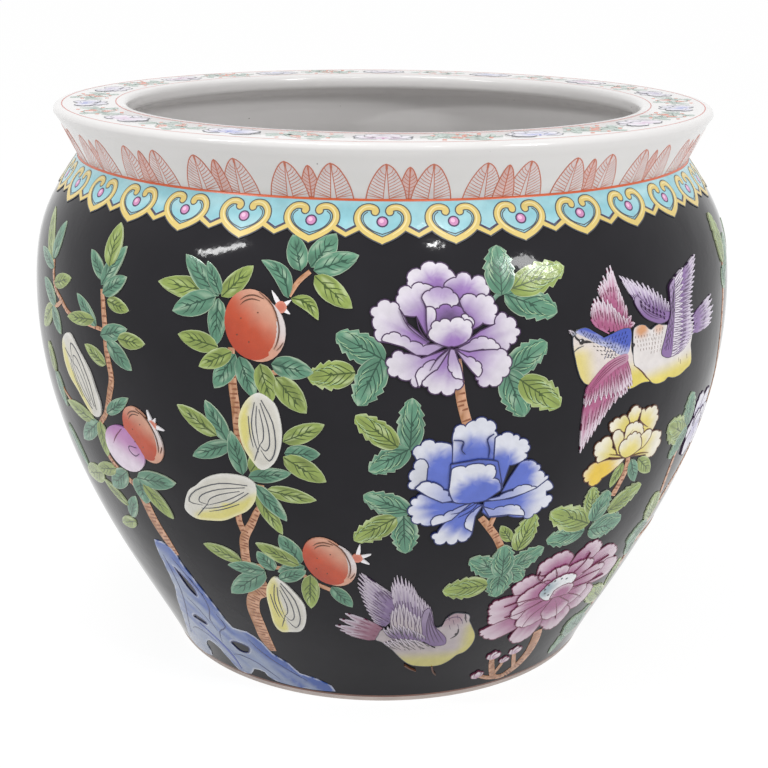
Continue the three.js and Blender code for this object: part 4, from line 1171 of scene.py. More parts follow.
# The petals of each peony from the back to the front, as heart, outline of degree, row and bulge, kind of
# shades and range of the shading, and the creases drawn over them
PEONIES = {
    "lilac_peony": ((
        ((7.2, 272), ((5, 268, 0), (3.9, 272, 1), (3.5, 275.4, 3), (5.3, 280.8, 2.6), (7.4, 283.4, 1.8),
            (9.2, 280.8, 1), (10.2, 275, 0), (9.5, 268, 0)), "plain", 0.2, 0.8),
        ((10.6, 266), ((8.4, 266, 0), (8.4, 273.3, 1), (10.1, 276.6, 3.2), (12.3, 275.4, 3.2),
            (14.3, 273, 2.2), (14, 267.4, 0.5), (11.7, 262, 0)), "plain", 0.3),
        ((6.4, 254), ((5.9, 250, 0), (4.6, 259, 0.6), (2.2, 260.4, 1), (2.3, 264.6, 1.4), (2.2, 269, 2.8),
            (4, 272, 1.8), (5.6, 274, 1), (7.4, 270.8, 0), (5.6, 266, 0), (6.6, 254, 0)), "plain", 0.2),
        ((6.2, 247), ((0, 247, 2), (-0.7, 252.8, 1.4), (-1, 258.6, 2.6), (-0.6, 263.6, 2.4),
            (1.2, 265.4, 1.6), (2.3, 262.6, 0.4), (3.4, 255.8, 0), (6.4, 247, 0), (5, 243, 0), (2, 246, 0)),
            "plain", 0.15, 0.85),
        ((8.6, 244), ((0.1, 247.4, 1.4), (1, 250.8, 1.6), (2.6, 249.6, 1.4), (3.8, 247, 1.2), (5.5, 244.8, 1),
            (8.6, 245, 0), (6.2, 240.4, 0), (4.6, 240.6, 0), (2.9, 244.6, 0)), "light"),
        ((9.6, 251), ((11.7, 252, 0), (10.3, 262.6, 0.6), (10.8, 267.4, 1.8), (12.8, 267, 1.4),
            (14.1, 267.4, 2), (15.2, 263.6, 1.8), (15.3, 258.6, 1.8), (15.2, 254.2, 0.8), (13.6, 255, 0.8)),
            "plain", 0.35),
        ((10.6, 245), ((10.3, 244, 0), (13.2, 251.2, 0), (15.3, 254.2, 0.8), (15.7, 258.2, 2),
            (17, 256.8, 2.4), (18.2, 251.6, 2.4), (18.3, 247.4, 2), (17.3, 244.4, 1.6), (16.5, 240.8, 0.4),
            (13, 241.4, 0)), "plain", 0.3),
        ((9.4, 244), ((9.9, 243, 0), (11.8, 246.2, 0.7), (12.8, 247.8, 1.2), (14.3, 247.2, 1), (15.4, 245, 1),
            (16, 241.4, 0.4), (13.6, 242.4, 0), (11.8, 241.6, 0)), "light"),
        ((8.9, 243), ((4.8, 225, 1.6), (4, 229.2, 1.6), (2.2, 230.8, 2.6), (1, 235, 2.2), (1.4, 239.6, 2.6),
            (3, 241.4, 0.8), (5.3, 239.2, 0), (8.9, 243.4, 0), (7.9, 236.6, 0), (5.6, 231, 0)), "plain", 0.2),
        ((9.1, 243.6), ((5, 224.8, 0), (4.6, 229.6, 1.3), (5.5, 235, 1.3), (7.2, 238, 0.4), (9.1, 243.8, 0),
            (8.4, 235.8, 0), (6.2, 230, 0)), "light"),
        ((10, 243), ((9.8, 243.4, 0), (11.7, 241.4, 0.5), (15.6, 241.7, 1.8), (17, 238.6, 2),
            (17.3, 232.4, 1.8), (16.4, 228.2, 2.8), (14.6, 224.8, 2.4), (13, 227.4, 1), (12.8, 229.6, 0),
            (13.3, 233.6, 0), (11.6, 238.2, 0)), "plain", 0.25),
        ((9.8, 243), ((9.8, 243, 0), (11.5, 239, 1), (12.6, 236.8, 1.2), (13.4, 233.5, 1.2), (12.9, 229, 0),
            (12.1, 232, 0), (11, 237, 0)), "light"),
        ((9.2, 240), ((9.1, 243, 0), (9.6, 236.7, 0), (10.4, 230.8, 1), (10.9, 227.4, 1.8), (9.9, 223.6, 2.8),
            (8, 222.8, 2.6), (6.2, 225.2, 2.2), (5.8, 229, 0.5), (7.4, 233.4, 0)), "plain", 0.2),
        ((9.5, 243), ((9.2, 243.4, 0), (9.7, 243, 0), (10.3, 236.7, 0.5), (10.9, 228, 0), (10.2, 228.8, 1),
            (9.4, 232, 1), (8.9, 235.6, 0.6)), "light"),
        ((8.2, 274), ((6.4, 260, 0), (5.4, 266.8, 1.4), (6.4, 270.8, 1.2), (8.1, 271.8, 1.4),
            (9.6, 269.6, 1.4), (10.2, 264.4, 0), (9, 260, 0)), "light"),
        ((9, 256), ((6.8, 256, 0), (6.5, 260, 0.8), (7.6, 262.6, 1.8), (9.3, 262.8, 1.8), (10.9, 260.8, 1),
            (11.4, 256, 0)), "dark"),
        ((5.8, 250), ((6.1, 249, 0), (5.9, 257, 0), (5.9, 263, 0.8), (7, 262.4, 1), (6.9, 256, 0.6),
            (7, 251, 0)), "light"),
        ((10.2, 250), ((11.2, 251, 0), (10.6, 258.8, 1.2), (11.6, 258.2, 1.2), (12.3, 254.4, 0.6)), "light"),
        ((9.6, 244), ((9.3, 244.6, 1.5), (6.2, 249.6, 0.8), (6.6, 253.3, 2), (7.7, 256.4, 1.6),
            (9.1, 256.2, 2), (11, 256.6, 1.8), (12, 253.2, 1), (11.5, 247.4, 1)), "plain", 0.2, 0.8),
    ), (
        ((9.2, 254), (9.5, 250.4), (9.3, 245)), ((4.6, 259), (5, 253), (6.2, 247.4)), ((2.4, 262), (3.6, 254),
        (6.2, 246.6)), ((8.9, 243), (7.4, 238.6), (6.4, 233)), ((10.4, 266), (10.8, 262), (11.8, 255)),
    )),
    "blue_peony": ((
        ((13.3, 184), ((10, 183, 0), (9.9, 195.8, 0.5), (10, 201.6, 2.4), (11.6, 203.8, 1.2),
            (12.9, 206.6, 2), (14.6, 206.2, 2.4), (15.8, 200.4, 1.4), (16.2, 192, 0), (16.6, 182.4, 0)),
            "plain", 0.35, 0.75),
        ((9.6, 178), ((9.7, 162.4, 0), (6.6, 170, 0), (6.4, 181, 0.5), (4.7, 189, 2.4), (5.5, 194.8, 2.6),
            (7.5, 195.8, 1), (9.8, 194.2, 0.5), (9.9, 178, 0)), "plain", 0.4, 0.8),
        ((6.6, 179), ((6.5, 170.6, 0), (4.8, 170, 2.4), (4.4, 175, 2.2), (4.8, 181.6, 2.2), (5.8, 187.4, 1.2),
            (6.6, 182, 0)), "pale"),
        ((16.6, 178), ((17.6, 165.6, 0), (16, 185, 0), (15.9, 196.4, 0.6), (16.8, 198, 1.8), (18.6, 197, 1.8),
            (19.5, 194.2, 2), (21, 191.2, 2), (20.6, 186.6, 1.6), (20.7, 183, 0.8), (18.5, 180.6, 0)),
            "plain", 0.35, 0.7),
        ((18.6, 172), ((17.8, 165, 0), (18.8, 173.4, 0), (20, 181, 0.8), (21.4, 182, 1), (22.8, 179, 1.8),
            (23.2, 175, 1.6), (24.4, 170.8, 1.8), (25, 169, 0.8), (23.9, 164.8, 0.5), (21.9, 165.6, 0),
            (20.4, 167, 0)), "plain", 0.45, 0.8),
        ((16, 161), ((15.5, 161.4, 0), (17.6, 162.7, 0.9), (19.6, 165, 1.1), (20.8, 167.6, 1),
            (22.6, 166, 0.7), (23.6, 164.4, 0), (20, 161.4, 0), (17, 159.8, 0)), "light"),
        ((16, 158), ((15.3, 160.4, 0), (19.5, 160.4, 0), (23.4, 164.8, 0), (24.9, 168.8, 1),
            (26.3, 163.2, 0.6), (25.2, 162, 0), (25.4, 159, 2.8), (26.2, 153.6, 1.8), (25, 152.2, 1.4),
            (23.9, 148.3, 2.2), (22.2, 147.6, 1), (19.5, 150.2, 0.5), (16.3, 150.4, 0), (15.2, 154, 0)),
            "plain", 0.45, 0.85),
        ((15.6, 156), ((15.2, 157.4, 0), (17, 154.8, 1), (18.5, 155.8, 1), (20.2, 155.8, 1.2), (21.4, 153, 1),
            (22.2, 148.2, 0), (19.5, 150.4, 0), (16.4, 150.6, 0)), "light"),
        ((13, 161), ((6.1, 167, 0), (9.7, 161.8, 0), (13.6, 160.6, 0), (12.1, 155, 0), (8.7, 153.2, 1),
            (7.7, 148.4, 1.4), (6, 149.4, 2.6), (4.8, 154.2, 2.6), (4.7, 160.6, 2.2), (5.3, 165, 1.2)),
            "plain", 0.55, 0.95),
        ((14, 160), ((13.5, 160.6, 0), (15.2, 158.4, 0), (13.8, 151.8, 0), (14, 142.6, 0.8),
            (13.6, 137.6, 2.2), (12, 137.6, 3.2), (10.2, 136.8, 3), (8.3, 138.2, 2.4), (8.7, 142.6, 0.5),
            (9.8, 149.4, 0)), "plain", 0.5, 0.85),
        ((13.4, 159), ((7.9, 147.4, 1), (7.7, 151.8, 1.4), (9.4, 153.6, 1), (10.6, 156.4, 0.6),
            (13.2, 160.2, 0), (10.6, 150.6, 0), (9.4, 149, 0)), "light"),
        ((14.8, 158), ((15.1, 158.4, 0), (14.2, 151.8, 0), (14.1, 141.6, 0), (13.2, 144, 1), (12.8, 149, 1),
            (13.8, 155, 0.6)), "light"),
        ((12, 162), ((4.9, 171, 0), (5.6, 173.4, 1.2), (7.2, 174, 1.2), (9, 169.6, 0.6), (12, 163.6, 0),
            (9, 161.8, 0), (6.8, 166, 0)), "light"),
        ((13.4, 172), ((9.8, 184, 0), (13.4, 185.6, 0.6), (16.6, 183.6, 0), (17.8, 168, 0), (14, 161.4, 0),
            (9.8, 166, 0)), "dark", 0.5),
        ((14.4, 161.4), ((9.8, 170.8, 0), (9.9, 180.8, 1.6), (11.9, 182, 1.8), (14.8, 182, 1.8),
            (16.3, 179.6, 1), (16.1, 174.2, 1), (17.2, 171.6, 0.6), (17.5, 166.6, 0), (15.6, 161.8, 0.5),
            (13.6, 160.9, 0.8), (10.7, 161.9, 0.8)), "plain", 0.4, 0.7),
    ), (
        ((13, 173), (13.2, 168), (12.8, 162)), ((12.1, 182), (12.8, 179.6), (13, 177)), ((16.2, 184),
        (17, 174), (17.6, 167)), ((10, 197), (11.4, 196), (11.2, 191.6), (11.8, 189)), ((15.7, 199),
        (14.8, 196.4), (15.2, 191), (15.2, 186)), ((14, 160), (12, 155.4), (10.4, 154.4)), ((14.4, 160),
        (13.4, 155.4), (11.6, 152)),
    )),
    "yellow_peony": ((
        ((35, 165), ((39.8, 170.6, 0.5), (38.1, 165.8, 0.5), (35.6, 161.8, 1), (34.6, 158.6, 1.8),
            (33, 162, 1.6), (32, 165, 2), (32.2, 170, 1.8), (34, 172.3, 0.6), (37.4, 172.5, 0)),
            "golden", 0.3),
        ((40.6, 172), ((40.8, 170.8, 0), (43.2, 175, 0), (45.2, 181.3, 1), (47.2, 180, 2.2), (47.9, 175, 2.6),
            (48, 169.2, 1.8), (46.7, 165.2, 1), (45, 168, 0)), "plain", 0.35, 0.85),
        ((39.6, 172), ((39.8, 170.8, 0), (36.1, 174.2, 0), (34.2, 172.6, 1.4), (33.6, 176.6, 1.4),
            (32.8, 180.8, 2.2), (33.7, 185.2, 2.2), (35.6, 185.4, 0.8), (36.2, 180, 0)), "plain", 0.4),
        ((39.8, 186), ((38.6, 187, 0), (35.6, 189.2, 0.8), (34.9, 192.5, 1.6), (35.4, 195.2, 1.6),
            (36.7, 195.8, 1.6), (38.1, 196.2, 1), (38.9, 192.4, 0), (39.4, 186, 0)), "plain", 0.4),
        ((41.4, 184), ((41.2, 190, 0), (41.2, 197.3, 1.4), (42.1, 196, 1.6), (43.6, 197, 1.8),
            (45.1, 195, 1.2), (45.3, 191.6, 1.8), (45.6, 187.3, 1), (44.6, 182, 0), (42, 184, 0)),
            "plain", 0.4),
        ((40, 186), ((39.8, 188, 0), (38.5, 195, 1), (38.7, 198.6, 2.4), (40.5, 199.4, 1.6),
            (40.9, 195.6, 0.8)), "plain", 0.4),
        ((38.6, 175), ((39.6, 170.9, 0), (37.6, 175, 0), (35.9, 185, 0.5), (35.9, 189, 1.4),
            (37.4, 188.4, 1.2), (38.3, 182, 0), (40, 176, 0))),
        ((40, 178), ((38.3, 180, 0), (38.3, 189, 1.6), (39.8, 191.2, 1.2), (40.9, 190.6, 1.2),
            (42.3, 186.6, 1.4), (42.5, 178, 0))),
        ((41.6, 174), ((41.6, 172.4, 0), (41.8, 180, 0.8), (43, 183.6, 1.2), (44.7, 183.2, 1),
            (44.6, 178, 0.5), (43.4, 174, 0))),
        ((40.4, 171.4), ((40, 171.2, 1.2), (38.1, 175.6, 0.8), (37.7, 180.2, 1.4), (39, 182.6, 1.4),
            (39.9, 184.8, 1.6), (41.1, 184.2, 1.4), (42.1, 181.6, 1), (42.9, 174.4, 0.8))),
    ), (
        ((40.4, 171), (38, 174), (36, 176)), ((40.8, 171), (43.4, 170.6), (45.6, 168.8)), ((40.4, 171),
        (37.6, 172), (35.4, 173.6)), ((41, 196), (41.2, 192), (42.6, 188), (43.6, 186)), ((39.6, 180),
        (39.2, 184), (40, 187.6)), ((41.6, 184), (42.4, 182), (42.8, 178)),
    )),
    "pink_peony": ((
        ((34, 96), ((35, 98, 0), (28.6, 100, 0.5), (28.2, 107, 2.2), (30.4, 112, 3), (34, 113, 1),
            (35.6, 108, 0))),
        ((36, 96), ((35, 98, 0), (36.2, 109, 0.5), (37.6, 113, 3), (40.8, 114, 1.8), (42.4, 108, 0.8),
            (42, 100, 0))),
        ((37, 84), ((38, 88, 0), (42, 104, 0.5), (44, 107, 1.8), (47.6, 102.6, 1.8), (49.6, 95, 1),
            (47, 88, 0))),
        ((37, 83), ((38, 80, 0), (47, 94, 0.5), (50.4, 91, 1.8), (53, 83, 1.8), (51.6, 75.4, 0.8),
            (46, 76, 0))),
        ((33, 82), ((32, 78, 0), (25.4, 87, 0.5), (24.2, 93, 2.2), (25.6, 98.6, 2.2), (28, 100.6, 1.4),
            (31, 96, 0))),
        ((33, 77), ((32, 72, 0), (24, 64.6, 0.6), (22.2, 66, 2.2), (21.6, 74, 1.8), (20.9, 80, 2.6),
            (22, 86, 1.4), (27, 86.6, 0), (33, 82, 0))),
        ((33, 74), ((33, 70, 0), (29, 56.6, 0.5), (25, 51.2, 2.6), (21.4, 56.6, 2.6), (20.9, 62, 0.6),
            (24.6, 67, 0), (31, 74, 0))),
        ((37, 77), ((38, 70, 0), (45, 77, 0.5), (47.4, 72, 1.6), (48, 64, 2.2), (45, 57, 1.6), (41, 62, 0))),
        ((36, 74), ((37, 72, 0), (42, 62, 0.5), (43.6, 56, 1), (42.6, 47, 2.4), (39.6, 44.6, 1.6),
            (37, 50, 1.4), (35, 56, 0))),
        ((34, 74), ((34, 72, 0), (35.4, 56, 0.6), (34.4, 46, 2), (31, 41.6, 2.2), (28.4, 49.4, 1),
            (30, 60, 0))),
        ((34, 86), ((33, 86, 0), (30.2, 94, 1.6), (31.4, 101, 2.2), (35, 102.4, 1.2), (36.4, 94, 0))),
        ((36, 86), ((35.6, 88, 0), (35.6, 101, 1.2), (38.6, 103, 2.2), (42, 98, 1.2), (40, 88, 0))),
        ((37, 83), ((36.6, 82, 0), (42, 94, 1.6), (46.6, 91, 1.6), (45.4, 82, 1.2), (40, 76, 0))),
        ((37, 78), ((36, 78, 0), (43, 80, 1.4), (44.6, 73, 1.6), (41, 65, 1.4), (37, 68, 0))),
        ((32.6, 84), ((32.8, 78, 0), (27.6, 76, 1.2), (26, 84, 1.8), (28.6, 92, 1.8), (32, 94, 0))),
        ((33, 77), ((33.6, 80, 0), (31, 67, 1.6), (26.4, 68, 1.8), (26.2, 76, 1.2), (29, 81, 0))),
        ((34, 76), ((34.4, 80, 0), (35, 62, 1.4), (31.4, 57, 2.2), (28, 62, 1.6), (29.6, 74, 0))),
        ((36, 76), ((35, 80, 0), (40.6, 68, 1.2), (39.6, 60, 2.2), (35.6, 58.6, 1.6), (33.6, 68, 0))),
        ((31.6, 88), ((33.4, 77, 1), (30.6, 84, 1.6), (32.4, 93, 1.8), (36, 95.6, 1.4), (38.6, 91, 1.4),
            (36.8, 82, 1)), "grey", 0.1, 0.5),
        ((36.4, 79), ((33.8, 78, 0), (34, 84, 1), (36.4, 87, 1.2), (39, 84, 1), (38.4, 77, 0))),
    ), (
        ((38, 86), (42, 88), (46, 88)), ((38, 82), (43, 80), (49, 80)), ((34, 74), (31, 66), (30, 56)),
        ((36, 74), (38, 64), (39.6, 54)), ((32, 78), (28, 72), (24.6, 70)), ((32, 82), (27, 82), (23.6, 80)),
        ((31.6, 92), (29, 98), (28.8, 104)), ((37, 94), (39, 101), (39.6, 108)), ((38, 78), (42, 72),
        (45, 66)), ((40, 92), (44, 96), (46.6, 98)), ((33.6, 92), (33, 98), (32, 104)),
    )),
}


# Feathers

def feather(relief, base, tip, width, root, end, ink):
    """A narrow feather that pales towards its pointed tip, with a dark shaft and a line along each edge."""
    course = Course(base, tip)

    def spot(share, side):
        half = 0.15 + width / 2 * min(1, 2.5 * share + 0.5) * (1 - share ** 4)
        return course.spot(share, side * half)

    def paint(share, side):
        return mixed(root, end, eased(0.4, 1.0, share + 0.25 * abs(side)))

    relief.field(spot, paint, 5, 2)
    for side, start, stop in ((-0.95, 0.06, 0.94), (0.0, 0.3, 0.84), (0.95, 0.06, 0.94)):
        relief.stroke([spot(start, side), spot(0.5, side), spot(stop, side)], 0.42, ink, 1, (0.8, 0.5))


def next_layer(relief):
    """Lifts what comes next over what is there."""
    relief.base += PLUMAGE_LIFT
    relief.order = -1


def wing(relief, roots, tips, count, width, root, end, ink):
    """A row of feathers from a line of roots to a line of tips, laid over what is there."""
    next_layer(relief)
    root_line, tip_line = smoothed(roots, 6), smoothed(tips, 6)
    for index in range(count):
        share = index / (count - 1)
        feather(relief, along(root_line, share), along(tip_line, share), width, root, end, ink)


def plumage(relief, outline, paint_place, rings=6, line="slate"):
    """A bird's body, head or shoulder inside its outline, coloured by the place on the sheet."""
    next_layer(relief)
    border = smoothed(outline, 3, True)
    _, spot = outlined(border)
    relief.disc(spot, lambda turn, far: paint_place(*spot(turn, far)), len(border), rings, 0.07)
    if line:
        relief.stroke([*border, border[0]], 0.35, line, 1, rise=-0.06)


def flecks(relief, places, size, ink, lean=(0.5, -1.0)):
    """Short brush flecks."""
    for degree, row in places:
        run = PATH.degree_run(row)
        end = (degree + lean[0] * size / run, row + lean[1] * size)
        relief.stroke([(degree, row), end], 0.55, ink, 1, (0.6, 0.4))


class BowlStep:
    """What every step of the making shares."""

    bl_options = {"REGISTER", "UNDO"}


class FISHBOWL_OT_porcelain(BowlStep, bpy.types.Operator):
    """The thrown body: foot ring, black wall, white neck, rim and inside"""

    bl_idname = "fishbowl.porcelain"
    bl_label = "Porcelain"

    def execute(self, context):
        settings = colours()
        materials = [
            black_glaze(tuple(settings.black)), white_glaze(tuple(settings.white)),
            iron_line(tuple(settings.brown_edge)), biscuit(tuple(settings.biscuit)),
        ]
        black, white, brown, bare = range(len(materials))
        outside = [PATH.at(row)[0] for row in (0, 3.4, 4.8, *range(10, 311, 6), NECK_ROW)]
        profile = [*UNDERSIDE, *outside, *PATH.lip, *INSIDE]
        zones = [white] * 3 + [bare] * 6 + [brown] + [black] * (len(outside) - 3)
        zones += [white] * (1 + len(PATH.lip) + len(INSIDE))
        shape = bmesh.new()
        band = shape.verts.layers.int.new("band")
        verts = [shape.verts.new((0.0, -radius * MM, height * MM)) for radius, height in profile]
        for index, vert in enumerate(verts):
            vert[band] = index
        edges = [shape.edges.new(pair) for pair in zip(verts, verts[1:])]
        bmesh.ops.spin(
            shape, geom=[*verts, *edges], cent=(0, 0, 0), axis=(0, 0, 1), angle=math.tau, steps=TURNED_SIDES,
            use_merge=True, use_normal_flip=False, use_duplicate=False,
        )
        for face in shape.faces:
            face.material_index = zones[min(vert[band] for vert in face.verts)]
        bmesh.ops.remove_doubles(shape, verts=shape.verts, dist=MERGED)
        bmesh.ops.recalc_face_normals(shape, faces=shape.faces)
        shape.verts.layers.int.remove(band)
        mesh = to_mesh(shape, "glazed_porcelain", materials, 60.0)
        add_piece("glazed_porcelain", mesh, ["porcelain_body"])
        return {"FINISHED"}


class FISHBOWL_OT_rim_scroll(BowlStep, bpy.types.Operator):
    """The painted blossoms, leaves and curls of the flat rim, between two thin red circles"""

    bl_idname = "fishbowl.rim_scroll"
    bl_label = "Rim scroll"

    def execute(self, context):
        scroll = Relief("rim_scroll", base=0.03, step=0.03, crown=0.005)
        for radius in RIM_CIRCLES:
            row = PATH.row_at_radius(radius)
            for start in range(0, 360, 30):
                scroll.stroke([(start + step * 5, row) for step in range(7)], 0.55, "iron_red", 2)
        for index in range(RIM_BLOSSOMS):
            centre = index * 360 / RIM_BLOSSOMS
            heart = RIM_HEARTS[min(index, RIM_BLOSSOMS - index) % len(RIM_HEARTS)]
            self.blossom(scroll, centre, (glaze(heart), glaze("dcd8e2")))
            for hand in (-1, 1):
                self.tendrils(scroll, centre + 180 / RIM_BLOSSOMS, hand)
        scroll.finish("porcelain", node="rim")
        return {"FINISHED"}

    def local(self, centre, across, up):
        """A place by millimetres from the middle of the rim's band."""
        row = PATH.row_at_radius(RIM_MIDDLE) + up
        return centre + across / PATH.degree_run(row), row

    def blossom(self, scroll, centre, shades):
        """Six petals round a middle one."""
        for turn in (-108, 108, -70, 70, -26, 26):
            angle = math.radians(turn)
            tip = self.local(centre, 14 * math.sin(angle), 10.5 * math.cos(angle))
            petal(scroll, self.local(centre, 0, -2), tip, 11, shades, 3, "slate", 0.3)
        petal(scroll, self.local(centre, 0, -5), self.local(centre, 0, 4.5), 10, shades, 3, "slate")

    def tendrils(self, scroll, centre, hand):
        """A stem with its curl, leaves and berries, on one hand of the space between two blossoms."""

        def placed(line):
            return [self.local(centre, hand * x, hand * y) for x, y in line]

        stem = placed([(-9, 6), (-3, 9), (4, 7), (9, 1), (15, -3), (20, -1)])
        scroll.stroke(stem, 0.7, "scroll", 2)
        curl = placed([(4, 7), (1, 3), (3.5, 0.5), (6, 2.5), (4.6, 4.2)])
        scroll.stroke(curl, 0.9, "iron_pale", 2, (1, 0.4))
        for x, y, tip_x, tip_y in ((-4, 9, -11, 11.5), (8, 2.4, 9, -8), (13, -2.4, 17, 7), (-1, 3, -9, 0)):
            line = placed([(x + (tip_x - x) * share, y + (tip_y - y) * share) for share in (0, 0.3, 0.7, 1)])
            scroll.stroke(line, 4.4, "scroll", 3, (0.2, 0.1))
            scroll.stroke(line[:3], 0.6, "leaf_dark", 2, (0.8, 0.2), rise=0.03)
        for berry in placed([(0, -9), (11, 9), (-13, 5)]):
            scroll.dot(berry, 1.1, "iron_pale", 8)


class FISHBOWL_OT_neck_lappets(BowlStep, bpy.types.Operator):
    """The band of hatched red leaf lappets round the neck, over an orange line"""

    bl_idname = "fishbowl.neck_lappets"
    bl_label = "Neck lappets"

    def execute(self, context):
        band = Relief("neck_lappets", base=0.03, step=0.04, crown=0.01, cycle=4)
        for start in range(0, 360, 20):
            band.stroke([(start + step * 4, ORANGE_LINE_ROW) for step in range(6)], 1.7, "orange", 2)
        for group in range(LAPPET_GROUPS):
            centre = 4 + group * 360 / LAPPET_GROUPS
            self.lappet(band, centre, *DARK_LAPPET, True)
            for hand in (-1, 1):
                self.lappet(band, centre + hand * PALE_LAPPET[0], *PALE_LAPPET, False)
        band.finish("iron_red_enamel", node="neck")
        return {"FINISHED"}

    def lappet(self, band, centre, half, top, dark):
        """One pointed lappet: a wash, an outline, a bare midrib and hatching."""
        height = top - LAPPET_FOOT_ROW

        def spot(share, side):
            arch = max(1 - share, 0.0) ** 0.62 * (1 - 0.12 * (1 - share) ** 3) + 0.02
            return centre + side * half * arch, LAPPET_FOOT_ROW + height * share

        wash = mixed(glaze("d8d5d6"), glaze("d98f80"), sizes().wash * (1.4 if dark else 0.25))
        blush = mixed(wash, glaze("cc6a55"), 0.2)
        band.field(spot, lambda share, side: mixed(wash, blush, eased(0.6, 1.0, share)), 8, 6)
        border = [spot(share, -1) for share in (0, 0.25, 0.5, 0.75, 0.9, 1)]
        border += [spot(share, 1) for share in (0.9, 0.75, 0.5, 0.25, 0)]
        band.stroke(border, 0.55, "lappet_red", 2)
        wedge = 0.0 if dark else 0.15
        if dark:
            band.stroke([spot(0, 0), spot(1, 0)], 0.6, "lappet_red", 2)
        else:
            for hand in (-1, 1):
                band.stroke([spot(0, hand * wedge), spot(0.86, hand * 0.05)], 0.42, "lappet_red", 2)
        lines = 8 if dark else 10
        for index in range(lines):
            low = -0.1 + 0.86 * index / lines
            high = low + (0.16 if dark else 0.2)
            near = max(low, 0.01)
            far = min(high, 0.97)
            hatch = ((near, wedge * (1 - near)), (min((near + high) / 2, 0.95), 0.55), (far, 0.97))
            for hand in (-1, 1):
                line = [spot(share, hand * out) for share, out in hatch]
                band.stroke(line, 0.4, "lappet_red", 1, (0.8, 0.6))
        band.stroke([spot(0.86, 0), spot(0.99, 0)], 1.5 if dark else 1.9, "lappet_red", 2, (0.6, 0.6))


# Half of a ruyi head from its foot to its curl, and the line inside it, as degree from its middle and row
HEAD_BAND = (
    (-0.28, 294.35), (0, 294.8), (1.5, 297.2), (2.9, 300.6), (3.65, 304.6), (3.6, 308.4), (2.9, 311.2),
    (2.0, 311.9), (1.25, 311.2), (1.0, 309.8), (1.3, 308.8),
)
HEAD_INNER = ((-0.1, 297.9), (1.3, 299.6), (2.3, 302), (2.85, 305.2), (2.75, 307.8), (2.2, 309.4))


class FISHBOWL_OT_ruyi_collar(BowlStep, bpy.types.Operator):
    """The turquoise collar with its scalloped edge, ruyi heads and spikes"""

    bl_idname = "fishbowl.ruyi_collar"
    bl_label = "Ruyi collar"

    def execute(self, context):
        collar = Relief("ruyi_collar", base=COLLAR_LIFT, step=0.0, crown=0.0)
        repeat = 360 / COLLAR_HEADS
        deep, pale = tone("turquoise"), tone("turquoise_pale")
        knots = ((0, 294.6), (3.55, 300.6), (5.294, 297.0), (7.04, 300.6), (repeat, 294.6))

        def edge(degree):
            place = degree % repeat
            for (left, low), (right, high) in zip(knots, knots[1:]):
                if place <= right:
                    return low + (high - low) * (place - left) / (right - left)
            return knots[-1][1]

        ground = blank_patch()
        for vert, share, side in strip_cells(ground, COLLAR_HEADS * HEAD_CELLS, 4):
            degree = share * 360
            up = (side + 1) / 2
            row = edge(degree) + (COLLAR_TOP_ROW - edge(degree)) * up
            spotty = grain(*Vector((math.sin(math.radians(degree)), math.cos(math.radians(degree)), up)) * 9)
            lift = COLLAR_LIFT if 0 < up < 1 else COLLAR_EDGE_LIFT
            put(ground, vert, degree, row, lift, mixed(deep, pale, 0.25 + spotty))
        bmesh.ops.remove_doubles(ground, verts=ground.verts, dist=MERGED)
        bmesh.ops.bridge_loops(ground, edges=drop_sides(ground))
        add_patch(collar.fields, ground)
        for head in range(COLLAR_HEADS):
            self.head(collar, head * repeat)
            self.spike(collar, (head + 0.5) * repeat)
        collar.finish("turquoise_enamel", node="ruyi_collar")
        return {"FINISHED"}

    def head(self, collar, centre):
        """One ruyi head: a yellow band that curls in at the top, round a pink bead, each with a painted
        highlight.
        """
        for hand in (-1, 1):
            line = [(centre + hand * degree, row) for degree, row in HEAD_BAND]
            collar.stroke(line, 4.1, "slate", 3, rise=0.02)
            collar.stroke(line, 2.9, "yellow", 3, rise=0.1)
            # A painted highlight: a pale yellow line along the upper edge of the yellow band
            glow = [(centre + hand * (degree - 0.12), row + 0.3) for degree, row in HEAD_BAND[2:9]]
            collar.stroke(glow, 0.7, "yellow_highlight", 3, (0.3, 0.3), rise=0.13)
            inner = [(centre + hand * degree, row) for degree, row in HEAD_INNER]
            collar.stroke(inner, 0.5, "slate", 3, rise=0.04)
            for radius, ink, rise in ((2.2, "slate", 0.05), (1.6, "yellow", 0.11)):
                collar.dot((centre + hand * 1.1, 309.4), radius, ink, 12, rise=rise)
        collar.dot((centre, 304.4), 2.9, "plum", 16, rise=0.03)
        collar.dot((centre, 304.4), 2.15, "pink", 16, rise=0.08)
        # A painted highlight: a pale pink dot set a little up and to one side on the bead
        collar.dot((centre - 0.12, 304.8), 1.1, "pink_highlight", 10, rise=0.12)

    def spike(self, collar, centre):
        """The small yellow spike between two heads."""
        line = [(centre - 1.8, 301.0), (centre, 297.6), (centre + 1.8, 301.0)]
        upper = [(degree, row + 2.2) for degree, row in line]
        collar.stroke(line, 3.4, "slate", 1, rise=0.005)
        collar.stroke(line, 2.2, "yellow", 1, rise=0.06)
        collar.stroke(upper, 0.7, "plum", 1, rise=0.03)


